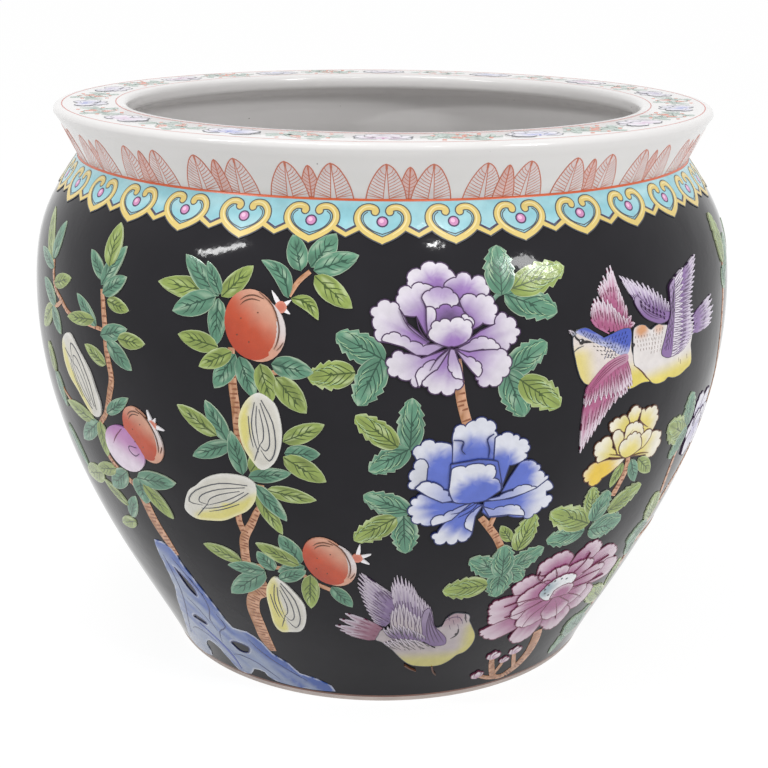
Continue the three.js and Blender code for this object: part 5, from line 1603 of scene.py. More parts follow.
# The rock's outline, its holes and the lines drawn on it
ROCK_EDGE = (
    (-43.3, 110), (-44, 92), (-44.8, 72), (-47, 60), (-50, 42), (-53.5, 26), (-58, 6.5), (-47.8, 6.5),
    (-47, 18), (-44, 25.5), (-41, 21), (-38, 6.5), (-33.6, 6.5), (-31.6, 13), (-28.6, 13), (-26, 7),
    (-10.5, 7), (-14.5, 17), (-18.5, 20), (-20.5, 28), (-24, 35), (-25.5, 44), (-28.5, 51), (-32, 51),
    (-33.5, 62), (-35, 76), (-38, 98), (-39, 108),
)
ROCK_HOLES = (
    ((-41, 92), (-39.4, 86), (-38, 78), (-38.4, 71), (-40, 77)),
    ((-44.6, 46), (-43, 49.5), (-40.5, 46.5), (-41, 43.5)),
    ((-35.2, 34), (-33.6, 37), (-30, 35.5), (-31, 29), (-33.6, 28)),
)
ROCK_LINES = (
    ((-42.6, 100), (-42.4, 88), (-42.8, 74), (-44, 62), (-46, 50), (-49, 36), (-53, 20)),
    ((-40.2, 100), (-38.4, 90), (-36.4, 76), (-36.2, 64), (-38, 52), (-37.6, 42)),
    ((-35, 60), (-34, 50), (-37, 42), (-38.4, 30)), ((-29, 44), (-26.6, 34), (-22.4, 24), (-17, 14)),
    ((-42, 66), (-40, 58), (-38.6, 48)), ((-49, 30), (-46.6, 34), (-43, 33), (-40.4, 28)),
    ((-36.4, 22), (-34, 24), (-30, 22), (-27, 16), (-24.4, 10)),
)
ROCK_FOLD = ((-43.4, 42), (-41, 36), (-38.6, 28), (-37, 19), (-36.2, 9))


class FISHBOWL_OT_scholar_rock(BowlStep, bpy.types.Operator):
    """The pierced blue garden rock at the foot of the trees"""

    bl_idname = "fishbowl.scholar_rock"
    bl_label = "Garden rock"

    def execute(self, context):
        rock = relief_for("scholar_rock")
        shape = blank_patch()
        borders = [
            [Vector((place.x * ROCK_SPREAD, place.y)) for place in smoothed(border, fine, True)]
            for border, fine in ((ROCK_EDGE, 2), *((hole, 3) for hole in ROCK_HOLES))
        ]
        edges = []
        for border in borders:
            verts = [shape.verts.new((*place, 0)) for place in border]
            edges += [shape.edges.new(pair) for pair in zip(verts, [*verts[1:], verts[0]])]
        bmesh.ops.triangle_fill(shape, use_beauty=True, use_dissolve=False, edges=edges)
        bmesh.ops.inset_region(
            shape, faces=shape.faces, thickness=1.6, use_boundary=True, use_even_offset=True,
        )
        for longest, cuts in ((9, 2), (6, 1)):
            long_edges = [edge for edge in shape.edges if edge.calc_length() > longest]
            bmesh.ops.subdivide_edges(shape, edges=long_edges, cuts=cuts, use_grid_fill=True)
            bmesh.ops.triangulate(shape, faces=shape.faces)
        # The rock's colours carry painted shade for the low front of the bowl
        deep, pale = tone("rock"), tone("rock_pale")
        crest = borders[0][CREST_START:]
        for vert in shape.verts:
            flat = Vector((vert.co.x, vert.co.y))
            inside = min((flat - place).length for border in borders for place in border)
            below = min((flat - place).length for place in crest)
            streak = grain((flat.x - flat.y) * 0.03, (flat.x + flat.y) * 0.11, 0)
            colour = mixed(deep, pale, 0.05 + 0.85 * eased(1.0, 17.0, below) + 1.3 * streak)
            colour = mixed(colour, (1, 1, 1), 0.0 if inside > 0.4 else 0.5)
            lift = ROCK_LIFT + ROCK_DOME * eased(0, 5, inside)
            put(shape, vert, flat.x / ROCK_SPREAD, flat.y, lift, colour)
        bmesh.ops.triangle_fill(shape, use_beauty=True, use_dissolve=False, edges=drop_sides(shape))
        add_patch(rock.fields, shape)
        rock.level = ROCK_LINE_LEVEL
        for line in ROCK_LINES:
            rock.stroke(line, 0.8, "navy", 3, (0.3, 0.2), rise=-0.06)
        rock.stroke(ROCK_FOLD, 1.8, "fold", 3, (0.2, 0.3), rise=0)
        for hole in ROCK_HOLES:
            rock.stroke([*hole, hole[0]], 0.8, "navy", 3, rise=-0.2)
        rock.finish("rock_enamel", back=True)
        return {"FINISHED"}


class FISHBOWL_OT_left_tree(BowlStep, bpy.types.Operator):
    """The tree that rises from the rock, with its leaves"""

    bl_idname = "fishbowl.left_tree"
    bl_label = "Left tree"

    def execute(self, context):
        grown("left_tree").finish("leaf_enamel", back=True)
        return {"FINISHED"}


class FISHBOWL_OT_fruit_tree(BowlStep, bpy.types.Operator):
    """The fruiting tree of the middle left, and the spray over its pomegranate"""

    bl_idname = "fishbowl.fruit_tree"
    bl_label = "Fruit tree"

    def execute(self, context):
        grown("fruit_tree").finish("leaf_enamel")
        grown("pomegranate_spray").finish("leaf_enamel")
        return {"FINISHED"}


# Each pomegranate's name, middle, half width and height, tilt, crown, sepals and whether the back has it
POMEGRANATES = (
    ("pomegranate_left", (-37.2, 183.8), (12.6, 15.4), 18, (-34.8, 191.5),
     ((-35.5, 199.5), (-34, 196), (-32.6, 190)), True),
    ("pomegranate_upper", (-17.2, 251.4), (15.4, 17), 8, (-13.6, 261.5),
     ((-15, 269), (-12.2, 265.2), (-12.3, 258.5)), False),
    ("pomegranate_lower", (-7.9, 121.2), (13, 16.8), 10, (-3.5, 125.6),
     ((-3, 135.2), (-1.3, 128.4), (-1.6, 121.4)), False),
)
# Each citron's name, outline from its stalk, yellow side, start of the yellow and whether the back has it
CITRONS = (
    ("citron_left", (
        (-47.2, 186), (-49.6, 186), (-52.5, 196), (-55, 203), (-56.2, 212), (-56, 222), (-53.5, 227.5),
        (-51, 221), (-48.2, 212), (-47, 203), (-46.2, 193),
    ), -1, 0.2, True),
    ("citron_upper", (
        (-16.6, 219), (-18.6, 214), (-19.8, 204), (-19.6, 192), (-18.6, 184), (-17, 177.5), (-15, 182),
        (-13.8, 192), (-13.6, 203), (-14.4, 214),
    ), 1, 0.25, False),
    ("citron_middle", (
        (-18.2, 168), (-20, 172), (-23.5, 171.5), (-26.5, 167), (-28.5, 161), (-30, 157), (-31.3, 149),
        (-31.7, 143), (-30, 139), (-27, 140), (-24.5, 142), (-22, 147), (-20, 151.5), (-18.5, 159),
    ), -1, 0.2, False),
    ("citron_lower", (
        (-17.3, 106), (-19.4, 100), (-20.3, 90), (-20.5, 78), (-20.6, 66), (-19.6, 60), (-17.6, 61),
        (-15.4, 63), (-14, 70), (-13.4, 80), (-13.8, 90),
    ), 1, -0.05, False),
)


class FISHBOWL_OT_fruits(BowlStep, bpy.types.Operator):
    """The pomegranates, the peach and the finger citrons"""

    bl_idname = "fishbowl.fruits"
    bl_label = "Fruits"

    def execute(self, context):
        for name, *shape, back in POMEGRANATES:
            fruit = Relief(name, base=POMEGRANATE_LIFT)
            pomegranate(fruit, *shape)
            fruit.finish("iron_red_enamel", back=back)
        fruit = Relief("peach", base=PEACH_LIFT)
        peach(fruit, (-42.3, 171.6), (16.1, 13.6), 12)
        fruit.finish("peach_enamel", back=True)
        for name, *shape, back in CITRONS:
            fruit = Relief(name, base=CITRON_LIFT)
            citron(fruit, *shape)
            fruit.finish("citron_enamel", back=back)
        return {"FINISHED"}


class FISHBOWL_OT_peonies(BowlStep, bpy.types.Operator):
    """The lilac, blue, yellow and pink peonies"""

    bl_idname = "fishbowl.peonies"
    bl_label = "Peonies"

    def execute(self, context):
        deep, pale = tone("lilac"), tone("lilac_pale")
        kinds = {"plain": (deep, pale), "light": (mixed(deep, pale, 0.3), pale), "dark": (deep * 0.4, deep)}
        self.peony("lilac_peony", kinds, "plum", 0.55).finish("lilac_enamel", back=True)
        deep, pale = tone("blue"), tone("blue_pale")
        kinds = {
            "plain": (deep, pale), "light": (mixed(deep, pale, 0.35), pale), "pale": (pale * 0.8, pale),
            "dark": (deep * 0.55, deep),
        }
        self.peony("blue_peony", kinds, "navy", 0.55).finish("blue_enamel", back=True)
        deep, pale = tone("cream"), tone("cream_pale")
        kinds = {"plain": (deep, pale), "golden": (glaze("e2bf3a"), pale)}
        self.peony("yellow_peony", kinds, "umber", 0.6).finish("cream_enamel")
        # The pink peony's colours carry painted shade for the low front of the bowl
        kinds = {"plain": (tone("pink"), tone("pink_pale")), "grey": (glaze("8fa3ac"), glaze("e4e6e9"))}
        turns = [math.radians(-40 + step * 32) for step in range(9)]
        stamens = [(34.2 - 2.7 * math.sin(turn), 87.5 + 6.2 * math.cos(turn)) for turn in turns]
        options = {"ends": (0.3, 0.2), "stamens": stamens, "frill": True, "start": 0.4, "end": 1.0}
        pink = self.peony("pink_peony", kinds, "rose_dark", 0.6, **options)
        pink.finish("pink_enamel", back=True)
        return {"FINISHED"}

    def peony(self, name, kinds, ink, width, ends=(0.4, 0.2), stamens=(), **options):
        """One peony: its petals, the dots of its stamens, and the creases over them."""
        relief = relief_for(name, cycle=24)
        petals, creases = PEONIES[name]
        flower(relief, petals, kinds, ink, **options)
        for place in stamens:
            relief.dot(place, 0.75, "slate", 8, rise=-0.02)
        for line in creases:
            relief.stroke(line, width, ink, 4, ends, rise=-0.1)
        return relief


class FISHBOWL_OT_peony_foliage(BowlStep, bpy.types.Operator):
    """The leaves, stems and buds of the peonies"""

    bl_idname = "fishbowl.peony_foliage"
    bl_label = "Peony leaves and branches"

    def execute(self, context):
        for place in ("left", "middle", "lower", "top", "right"):
            grown("peony_leaves_" + place).finish("leaf_enamel", back=True)
        grown("peony_branch").finish("leaf_enamel", back=True)
        grown("yellow_peony_leaves").finish("leaf_enamel")
        twig = grown("blossom_branch")
        for bud in ((26.3, 33, 4), (32.3, 32, 4), (30.1, 25.6, 3), (24, 16, 3.6)):
            self.bud(twig, *bud)
        twig.finish("bark_enamel", back=True)
        return {"FINISHED"}

    def bud(self, twig, degree, row, radius):
        """A bud of three small petals."""
        run = PATH.degree_run(row)
        for turn in (-60, 0, 60):
            angle = math.radians(turn)
            tip = (degree + radius * math.sin(angle) / run, row + radius * math.cos(angle))
            shades = (glaze("b583a2"), glaze("e4dbe2"))
            petal(twig, (degree, row - radius * 0.8), tip, radius * 1.2, shades, 2, "rose_dark")


# The outlines of the birds' bodies, crowns and shoulders
BIRD_OUTLINES = {
    "lower_body": (
        (-0.6, 59.9), (0.5, 58), (1.4, 54.9), (2.7, 50.5), (3.7, 46), (4.8, 41.4), (6, 37.4), (7.5, 34.6),
        (10, 33), (12.4, 32.5), (14, 33.6), (15.5, 36.8), (16.7, 41), (18.1, 42.7), (19, 46), (19.5, 50.5),
        (19.6, 55), (19.2, 60), (18.5, 64.3), (17.8, 68.6), (17.2, 72.4), (17.1, 75.5), (16.6, 78),
        (15.5, 79.3), (14, 80.2), (13, 78), (12.4, 75.5), (12.3, 72.4), (11.4, 69), (8, 70), (3, 70),
        (0.5, 68.6), (-0.1, 64.3),
    ),
    "lower_shoulder": (
        (13.4, 53.6), (13.2, 59.3), (11.9, 64.9), (10.6, 70), (10, 75.5), (9.5, 81.8), (8.9, 87), (8, 84),
        (7.8, 76), (8.2, 68), (8.6, 60), (10, 54), (12, 52.6),
    ),
    "blue_body": (
        (27, 243.4), (27.4, 246.6), (28.2, 247.6), (29, 247.8), (29.8, 246.7), (30.6, 244.6), (31.3, 242.5),
        (32.2, 241.3), (33.1, 241.8), (34.1, 242.9), (35.3, 243.8), (36.5, 244), (37.3, 243), (37.5, 238),
        (37.6, 232), (38.6, 226), (40.4, 219), (42.2, 213), (40.3, 213.2), (38, 211.6), (36, 214), (33, 217),
        (29.9, 218.5), (28.7, 221.7), (28, 226.7), (27.5, 232.5), (27.1, 238.3),
    ),
    "blue_crown": (
        (27.4, 246.4), (28.2, 247.5), (29, 247.7), (29.8, 246.6), (30.6, 244.5), (31.3, 242.4), (32.2, 241.2),
        (33.1, 241.7), (34.1, 242.8), (35.3, 243.7), (36.5, 243.9), (37.3, 242.6), (37.4, 237), (36.8, 230.6),
        (35, 231.6), (33.6, 235), (32.2, 237), (31, 239), (29.8, 241.4), (28.8, 243.6), (28, 244.8),
    ),
    "blue_shoulder": (
        (36.6, 231), (34.4, 230), (32.4, 227), (29.9, 218.6), (29.6, 214), (31, 216.4), (33, 221), (35, 225),
        (36.8, 227),
    ),
    "purple_far_shoulder": (
        (38.2, 256), (39.3, 250.4), (40.5, 246.7), (42.2, 243.8), (44, 242), (45.8, 243), (46, 247),
        (43, 248.4), (40.8, 253), (38.8, 259),
    ),
    "purple_body": (
        (37.9, 242.5), (38.4, 243.8), (39.3, 244.2), (40.3, 243.3), (41, 241.3), (41.7, 240.4), (42.4, 241.5),
        (43.4, 242.1), (44.1, 241.3), (46, 240), (49, 238), (52.6, 237), (52.8, 230), (52.5, 225),
        (52.8, 221.7), (53.2, 214.2), (51.5, 211.7), (49.9, 210.2), (48.1, 210.2), (46.6, 211.6),
        (45.8, 210.2), (44.1, 210), (42.8, 211.3), (41.7, 214.2), (40.3, 218.8), (39.3, 221.7), (38.4, 223.8),
        (38, 228.3), (37.9, 233.3), (37.8, 238.3),
    ),
    "purple_shoulder": (
        (44.2, 227), (44.8, 233.3), (45.6, 240.8), (46.2, 246.7), (46.2, 253.3), (46.1, 259), (46.7, 261.4),
        (47.6, 262.6), (47.4, 255), (47.2, 245), (47, 235), (46.9, 226), (46.5, 222.6), (44.9, 224),
    ),
}


class FISHBOWL_OT_songbirds(BowlStep, bpy.types.Operator):
    """The three songbirds"""

    bl_idname = "fishbowl.songbirds"
    bl_label = "Songbirds"

    def execute(self, context):
        self.lower_bird()
        self.blue_bird()
        self.purple_bird()
        return {"FINISHED"}

    def bird(self, name):
        """A new bird, whose feathers overlap in three thin steps."""
        return relief_for(name, step=0.035, crown=0.01, cycle=3)

    def lower_bird(self):
        """The pale bird with the mauve tail, low on the front."""
        bird = self.bird("songbird_lower")
        mauve, violet = glaze("8a586e"), glaze("77608a")
        # The white and the grey are the plumage's own pale tints darkened by painted shade, as the low front
        # of the bowl gets less light
        white, grey = glaze("c2b8c4"), glaze("b2a7aa")
        yellow = glaze("c2ba70")
        tips = ((-6.1, 82), (-8.2, 71), (-6.4, 65))
        wing(bird, ((0.4, 69), (0, 65), (-0.6, 61)), tips, 5, 5, mauve, white, "rose_dark")

        def coat(degree, row):
            low = eased(50, 38, row) + eased(15.5, 18.8, degree) * eased(74, 66, row)
            return mixed(mixed(grey, yellow, low), mauve, 0.5 * eased(66, 74, row) * eased(16.4, 15, degree))

        plumage(bird, BIRD_OUTLINES["lower_body"], coat, 8)
        places = [(12.8 + index * 0.55, 78.4 - (index * 2 % 3) * 4) for index in range(7)]
        flecks(bird, places, 4, "plum", (0.3, -1))
        bird.stroke([(15.4, 66), (15.5, 62.4), (15, 59.4), (14.2, 57.8)], 1.1, "black", 3, (0.6, 0.3))
        bird.dot((15.2, 61.6), 0.9, "black", 10)
        bird.stroke([(16, 79.6), (16.2, 75), (16.8, 71)], 0.7, "black", 2, (0.3, 0.3))
        bird.stroke([(12.4, 74.6), (13.6, 77), (15, 76.4), (15.6, 73)], 0.5, "plum", 3, (0.3, 0.3))
        tips = (
            (-1, 76.6), (-2.2, 86), (-3, 96), (-3.6, 106), (-3.1, 114.4), (-1.8, 111), (-0.4, 106),
            (0.9, 102),
        )
        wing(bird, ((1.4, 73), (2.8, 80), (3.4, 88), (4, 92)), tips, 21, 3.0, violet, white, "plum")
        tips = ((2, 105), (2.7, 113), (4.5, 110), (5.8, 104), (6.6, 97.6), (7.6, 94), (9, 87.6))
        wing(bird, ((4.4, 72), (7, 68), (10, 66)), tips, 17, 3.0, violet, white, "plum")
        tips = ((2.4, 86), (4, 92), (5.8, 84), (7.8, 80))
        wing(bird, ((3, 68), (5.6, 66), (8.4, 64)), tips, 9, 4, grey, white, "plum")

        def shoulder_coat(degree, row):
            return mixed(violet, white, 0.3 * eased(60, 84, row))

        plumage(bird, BIRD_OUTLINES["lower_shoulder"], shoulder_coat, line="plum")
        for across in (-0.7, 0.2, 1.1, 2):
            line = [(12.2 - across, 56), (10.9 - across * 0.8, 64), (9.7 - across * 0.4, 74), (9.1, 84)]
            bird.stroke(line, 0.6, "plum", 3, (0.4, 0.2))
        tips = ((0.8, 70), (3.2, 74), (5.8, 70.4), (8, 65))
        wing(bird, ((3.2, 62), (5.6, 61), (8.8, 58)), tips, 9, 3.8, violet, white, "black")
        tips = ((1, 58), (3.6, 62), (6.8, 60))
        wing(bird, ((3.6, 53), (6.4, 50.6), (9.8, 51.6)), tips, 8, 3.8, grey, white, "black")
        places = [(4.2 + index * 0.8, 56.6 - 2 * (index % 3)) for index in range(9)]
        flecks(bird, places, 2.6, "black", (0.9, -0.6))
        bird.stroke([(5.6, 35.4), (6.8, 32), (8.2, 29.4)], 0.8, "umber", 2, (1, 0.4))
        bird.stroke([(11.6, 32.8), (12.2, 27), (13, 23.8)], 0.8, "umber", 2, (1, 0.4))
        bird.finish("cream_enamel")

    def blue_bird(self):
        """The bird with the blue head, over the yellow peony."""
        bird = self.bird("songbird_blue")
        rose, white = glaze("a8567f"), glaze("ddd2dc")
        blue, pale_blue = glaze("3c52b4"), glaze("8f9fd6")
        cream, yellow = glaze("ded4cf"), glaze("dccb5c")
        tips = ((31.6, 266), (32.4, 270), (34.3, 276.4), (35, 268), (36.2, 257.6), (38.2, 245.6))
        wing(bird, ((33, 258), (34, 254), (35.4, 249), (36.8, 245)), tips, 13, 3.2, rose, white, "rose_dark")
        tips = ((30.2, 257), (31, 262), (33, 260), (34.6, 254), (36.6, 249))
        wing(bird, ((31, 248), (32.4, 245), (35, 243), (36.4, 243)), tips, 11, 3.4, rose, white, "rose_dark")
        bird.stroke([(30.1, 251.4), (31, 248), (33.2, 243)], 1.6, "rose", 3, (0.4, 0.4))

        def coat(degree, row):
            front = eased(31.4, 28.2, degree + (row - 232) * 0.06) * eased(241, 233, row)
            return mixed(cream, yellow, max(0.8 * front, eased(36, 38, degree) * eased(228, 218, row)))

        plumage(bird, BIRD_OUTLINES["blue_body"], coat, 8)

        def crown_coat(degree, row):
            inside = row - (246 - 1.55 * (degree - 27.4))
            ragged = 2.4 * grain(degree * 1.4, row * 0.5, 0)
            return mixed(mixed(cream, pale_blue, 0.6), blue, eased(-1.5, 4.5, inside + ragged))

        plumage(bird, BIRD_OUTLINES["blue_crown"], crown_coat, line="")
        feather(bird, (27.4, 244.6), (26.4, 247.6), 2.4, glaze("8c8f9c"), white, "black")
        bird.level += 0.12
        bird.dot((28.4, 241.2), 1.5, "black", 10)
        bird.stroke([(28.4, 241), (29.3, 240.8), (30.1, 240.2)], 1.3, "black", 2, (0.9, 0.3))
        bird.stroke([(27.2, 245), (27.6, 243), (28.4, 241.4), (29.8, 240.6)], 0.9, "black", 3, (0.5, 0.2))
        # A painted highlight: a small white dot in the black eye
        bird.dot((28.2, 241.8), 0.4, "white", 6)
        bird.stroke([(27.2, 236.6), (27.8, 238.2), (28.8, 239)], 0.5, "slate", 2, (0.4, 0.2))
        rows = ((240.6, 29.6, 7), (238.2, 30.4, 7), (235.8, 31, 6), (233.4, 31.8, 5), (231.4, 32.8, 4))
        for row, start, count in rows:
            places = [(start + index * 0.62, row - 0.4 * index) for index in range(count)]
            flecks(bird, places, 1.2, "black", (1.0, -0.5))
        for drop in range(5):
            start, row = 32.6 + 0.3 * (drop % 2), 240.8 - 2.2 * drop
            places = [(start + index * 0.62, row + 0.3 * index) for index in range(7)]
            flecks(bird, places, 1.5, "navy", (-0.4, -1))
        for drop in range(3):
            start, row = 28.3 + 0.3 * drop, 246.8 - 1.3 * drop
            places = [(start + index * 0.5, row - index * 0.75) for index in range(6)]
            flecks(bird, places, 1.1, "navy", (0.4, -1))
        roots = ((36.6, 217), (34.4, 215), (32, 213), (29.9, 211))
        tips = ((37, 209.6), (34.6, 204.4), (32.6, 195.6), (31.2, 188), (30, 181.4))
        wing(bird, roots, tips, 11, 3.6, rose, white, "rose_dark")
        roots = ((36, 230), (34.6, 227), (32.6, 222), (30.2, 217))
        tips = ((38.2, 213), (36.2, 208.6), (33, 209.4), (29.6, 207))
        wing(bird, roots, tips, 12, 3.4, rose, white, "rose_dark")

        def shoulder_coat(degree, row):
            return mixed(rose, white, 0.3 * eased(31, 37, degree))

        plumage(bird, BIRD_OUTLINES["blue_shoulder"], shoulder_coat, 4, "")
        for across in (0, 0.9, 1.8):
            line = [(36.4, 229.8 - across), (34.2, 228.4 - across * 1.4)]
            line += [(32, 224 - across * 1.6), (30, 216 - across)]
            bird.stroke(line, 0.4, "rose_dark", 3, (0.4, 0.2))
        bird.finish("blue_enamel", back=True)

    def purple_bird(self):
        """The violet bird with its wings up, at the right."""
        bird = self.bird("songbird_purple")
        violet, pale = glaze("82609a"), glaze("d9d0de")
        cream, yellow, nape = glaze("ded8d6"), glaze("dccb5c"), glaze("cf9468")
        tips = ((60, 246.6), (61.3, 238), (60.4, 231))
        wing(bird, ((53, 238.6), (53.6, 235), (53.2, 231.6)), tips, 6, 3.6, violet, pale, "plum")
        tips = ((35.8, 270.4), (38, 267.6), (41.3, 263), (44.2, 256.6), (46.4, 250.6))
        wing(bird, ((40.4, 250), (42.6, 247), (45.4, 244.6)), tips, 13, 3.4, violet, pale, "plum")

        def far_coat(degree, row):
            return mixed(violet, pale, 0.35 * eased(248, 257, row))

        plumage(bird, BIRD_OUTLINES["purple_far_shoulder"], far_coat, 3, "plum")
        for across in (0, 0.9, 1.8):
            line = [(45.2 - across, 244.6), (42.8 - across * 0.8, 247.4)]
            line += [(40.4 - across * 0.4, 252), (39.2, 256.4)]
            bird.stroke(line, 0.45, "plum", 3, (0.4, 0.2))

        def coat(degree, row):
            low = eased(222, 212, row - 0.3 * (degree - 45))
            spot = eased(1.9, 0.6, math.hypot(degree - 39.6, (row - 241.6) / 3))
            spot += 0.6 * eased(1.6, 0.5, math.hypot(degree - 43.4, (row - 240.6) / 3))
            return mixed(mixed(cream, yellow, low), nape, spot)

        plumage(bird, BIRD_OUTLINES["purple_body"], coat, 9)
        bird.dot((37.9, 234.6), 1.1, "black", 8)
        for row, start, count in ((239, 38.2, 6), (236.6, 38.6, 7), (234.2, 38.8, 7), (231.8, 39.4, 6)):
            places = [(start + index * 0.62, row - 0.1 * index) for index in range(count)]
            flecks(bird, places, 1.4, "umber", (0.2, -0.9))
        for degree in (42.2, 42.9, 43.6, 44.3):
            places = [(degree - step * 0.08, 240 - step * 2.2) for step in range(6)]
            flecks(bird, places, 1.5, "umber", (-0.1, -1))
        bird.stroke([(38.2, 224), (40, 219.6), (41.2, 215.6), (42.4, 212.4)], 0.7, "umber", 3, (0.2, 0.2))
        flecks(bird, [(49, 220.4), (49.6, 219), (51.4, 220.6)], 2.6, "umber", (0.3, -1))
        roots = ((46.6, 224), (47, 233), (47.6, 245), (48.4, 256), (49.4, 262))
        tips = ((50.8, 224.8), (53.2, 231), (53, 240), (52.4, 250), (53.6, 260), (55, 271.2))
        wing(bird, roots, tips, 22, 3.2, violet, pale, "plum")
        tips = ((48.8, 224.6), (49.6, 235), (49.4, 250), (50.4, 266.8))
        wing(bird, ((46.2, 223.6), (46.4, 236), (46.6, 250), (46.6, 259)), tips, 18, 3, pale, pale, "plum")

        def shoulder_coat(degree, row):
            return mixed(violet, pale, 0.25 * eased(228, 255, row))

        plumage(bird, BIRD_OUTLINES["purple_shoulder"], shoulder_coat, 4, "plum")
        bird.level += 0.05
        for across in (0, 0.6, 1.2):
            line = [(46.4 - across, 227), (46.7 - across * 0.8, 238), (46.9 - across * 0.4, 250), (47.2, 259)]
            bird.stroke(line, 0.4, "plum", 3, (0.4, 0.2))
        for index in range(10):
            row, start = 228 + index * 3.2, min(44.9 + 0.22 * index, 46.3)
            places = [(start + step * 0.5, row + step * 1.1) for step in range(3)]
            flecks(bird, places, 1.5, "black", (0.3, 1))
        for index in range(7):
            places = [(39.6 + index * 0.85, 255 - index * 1.5 - step * 2.2) for step in range(2)]
            flecks(bird, places, 1.5, "plum", (-0.5, 1))
        bird.finish("lilac_enamel")


# The side flower's petals, as base, tip, width and ruffles
SIDE_PETALS = (
    ((63, 171), (61.4, 188.5), 15, 3), ((63.2, 171), (66.8, 186.5), 15, 3),
    ((63.4, 170), (69.2, 171.5), 15, 3), ((63, 170), (59, 166), 14, 3), ((63.2, 169), (67, 154.5), 15, 3),
    ((63, 169), (61.2, 150.8), 15, 3), ((63, 168), (61.6, 178), 11, 2), ((63.2, 168), (65.4, 177), 11, 2),
    ((63, 166), (63.4, 176), 12, 2),
)


class FISHBOWL_OT_side_motifs(BowlStep, bpy.types.Operator):
    """The white flower and the leaf sprays where the front turns into the side"""

    bl_idname = "fishbowl.side_motifs"
    bl_label = "Side flower and sprays"

    def execute(self, context):
        grown("side_spray").finish("leaf_enamel", back=True)
        bloom = relief_for("side_flower", cycle=20)
        for base, tip, width, ruffles in SIDE_PETALS:
            petal(bloom, base, tip, width, (glaze("9d93c4"), glaze("e2e0ea")), ruffles)
        bloom.finish("lilac_enamel", back=True)
        return {"FINISHED"}


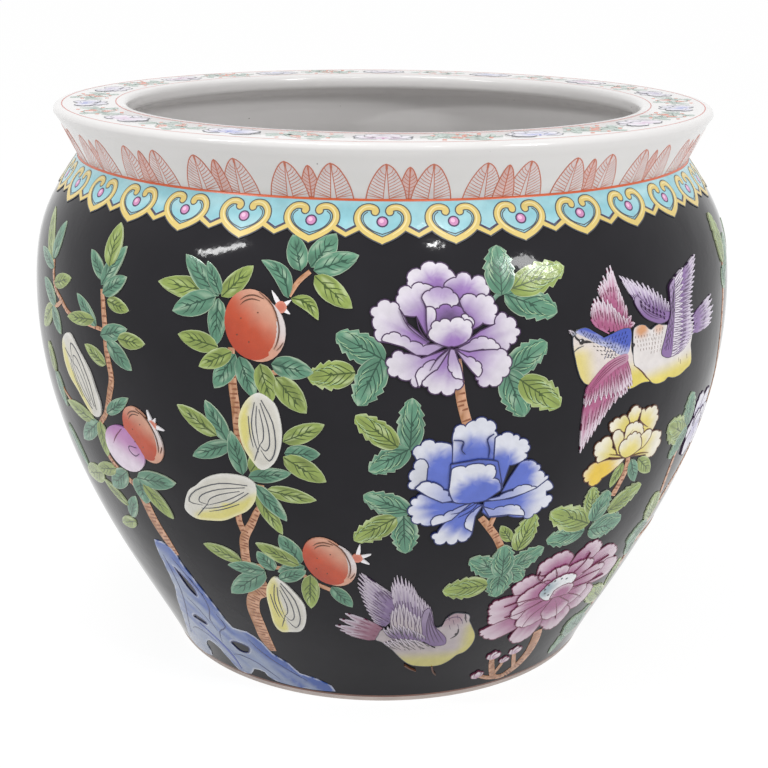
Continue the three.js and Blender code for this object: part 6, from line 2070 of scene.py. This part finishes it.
class FISHBOWL_OT_stage(BowlStep, bpy.types.Operator):
    """A white floor, soft lamps and the camera"""

    bl_idname = "fishbowl.stage"
    bl_label = "Stage"

    def execute(self, context):
        scene = context.scene
        scene.view_settings.view_transform = "Standard"
        self.floor(scene)
        self.sky(scene)
        for name, place, size, turn, power in LAMPS:
            lamp = bpy.data.lights.new(name, "AREA")
            lamp.shape = "RECTANGLE"
            lamp.size, lamp.size_y = size
            lamp.energy = power
            aim = Vector(LAMP_AIM) - Vector(place)
            face = aim.to_track_quat("-Z", "Y").to_matrix().to_4x4()
            face = face @ Matrix.Rotation(math.radians(turn), 4, "Z")
            self.stand(scene, name, lamp, place, face)
        lens = bpy.data.cameras.new("camera")
        lens.sensor_width = 36
        lens.lens = CAMERA_LENS
        lens.shift_x = CAMERA_SHIFT
        tip = Matrix.Rotation(math.radians(90) - CAMERA_TIP, 4, "X")
        roll = Matrix.Rotation(CAMERA_ROLL, 4, "Z")
        scene.camera = self.stand(scene, "camera", lens, CAMERA_PLACE, tip @ roll)
        return {"FINISHED"}

    def stand(self, scene, name, data, place, face):
        """A lamp or the camera at its place, turned to what it faces."""
        made = bpy.data.objects.new(name, data)
        made.matrix_world = Matrix.Translation(place) @ face
        scene.collection.objects.link(made)
        return made

    def floor(self, scene):
        """The white floor that the bowl stands on."""
        shape = bmesh.new()
        bmesh.ops.create_grid(shape, x_segments=1, y_segments=1, size=FLOOR_SIZE)
        mesh = bpy.data.meshes.new("floor")
        shape.to_mesh(mesh)
        shape.free()
        mesh.transform(Matrix.Translation((0, 0, -FLOOR_DROP)))
        mesh.materials.append(self.floor_paint())
        floor = bpy.data.objects.new("floor", mesh)
        scene.collection.objects.link(floor)

    def seen_directly(self, tree):
        """1 where the camera, a reflection or a refraction sees it, and 0 for other light."""
        path = add_node(tree, "ShaderNodeLightPath")
        seen = path.outputs["Is Camera Ray"]
        for ray in ("Is Glossy Ray", "Is Transmission Ray"):
            larger = add_node(tree, "ShaderNodeMath", operation="MAXIMUM")
            tree.links.new(seen, larger.inputs[0])
            tree.links.new(path.outputs[ray], larger.inputs[1])
            seen = larger.outputs[0]
        return seen

    def either(self, tree, share, first, second, end):
        """Joins two shaders by a share, into the last socket."""
        both = add_node(tree, "ShaderNodeMixShader")
        for socket, value in zip(both.inputs, (share, first, second)):
            tree.links.new(value, socket)
        tree.links.new(both.outputs[0], end)

    def floor_paint(self):
        """White paint that takes soft shadows, and glows where it is seen directly."""
        material, tree, shader = blank_material("white_floor")
        shader.inputs["Base Color"].default_value = (0.85, 0.85, 0.85, 1)
        shader.inputs["Roughness"].default_value = 0.9
        shader.inputs["Specular IOR Level"].default_value = 0.0
        glow = add_node(tree, "ShaderNodeEmission", Strength=FLOOR_GLOW)
        share = ranged(tree, self.seen_directly(tree), 0.0, FLOOR_GLOW_SHARE)
        end = tree.nodes["Material Output"].inputs["Surface"]
        self.either(tree, share, shader.outputs["BSDF"], glow.outputs["Emission"], end)
        return material

    def sky(self, scene):
        """Soft white light all round, and a plain white background where it is seen directly."""
        world = bpy.data.worlds.new("studio")
        world.use_nodes = True
        tree = world.node_tree
        plain = tree.nodes["Background"]
        plain.inputs["Color"].default_value = (1, 1, 1, 1)
        plain.inputs["Strength"].default_value = WORLD_LIGHT
        white = add_node(tree, "ShaderNodeBackground", Strength=1.0)
        white.inputs["Color"].default_value = (1, 1, 1, 1)
        end = tree.nodes["World Output"].inputs["Surface"]
        self.either(tree, self.seen_directly(tree), plain.outputs[0], white.outputs[0], end)
        scene.world = world


class FISHBOWL_PT_panel(bpy.types.Panel):
    """The steps of the making, in order"""

    bl_idname = "FISHBOWL_PT_panel"
    bl_label = "Painted Fish Bowl"
    bl_space_type = "VIEW_3D"
    bl_region_type = "UI"
    bl_category = "Fish Bowl"

    def draw(self, context):
        for step in STEPS:
            self.layout.operator(step.bl_idname)
        for settings in (context.scene.fish_bowl_sizes, context.scene.fish_bowl_colours):
            for name in settings.__annotations__:
                self.layout.prop(settings, name)


STEPS = (
    FISHBOWL_OT_porcelain, FISHBOWL_OT_rim_scroll, FISHBOWL_OT_neck_lappets, FISHBOWL_OT_ruyi_collar,
    FISHBOWL_OT_scholar_rock, FISHBOWL_OT_left_tree, FISHBOWL_OT_fruit_tree, FISHBOWL_OT_fruits,
    FISHBOWL_OT_peony_foliage, FISHBOWL_OT_peonies, FISHBOWL_OT_songbirds, FISHBOWL_OT_side_motifs,
    FISHBOWL_OT_stage,
)
CLASSES = (BowlColours, BowlSizes, *STEPS, FISHBOWL_PT_panel)


def register():
    """Registers the settings, the steps and the panel."""
    for made in CLASSES:
        bpy.utils.register_class(made)
    bpy.types.Scene.fish_bowl_colours = PointerProperty(type=BowlColours)
    bpy.types.Scene.fish_bowl_sizes = PointerProperty(type=BowlSizes)


def unregister():
    """Takes the settings, the steps and the panel out again."""
    del bpy.types.Scene.fish_bowl_sizes
    del bpy.types.Scene.fish_bowl_colours
    for made in reversed(CLASSES):
        bpy.utils.unregister_class(made)


def main():
    """Makes every group of pieces by its operator."""
    register()
    for step in STEPS:
        group, name = step.bl_idname.split(".")
        getattr(getattr(bpy.ops, group), name)()
    bpy.context.view_layer.update()


if __name__ == "__main__":
    main()
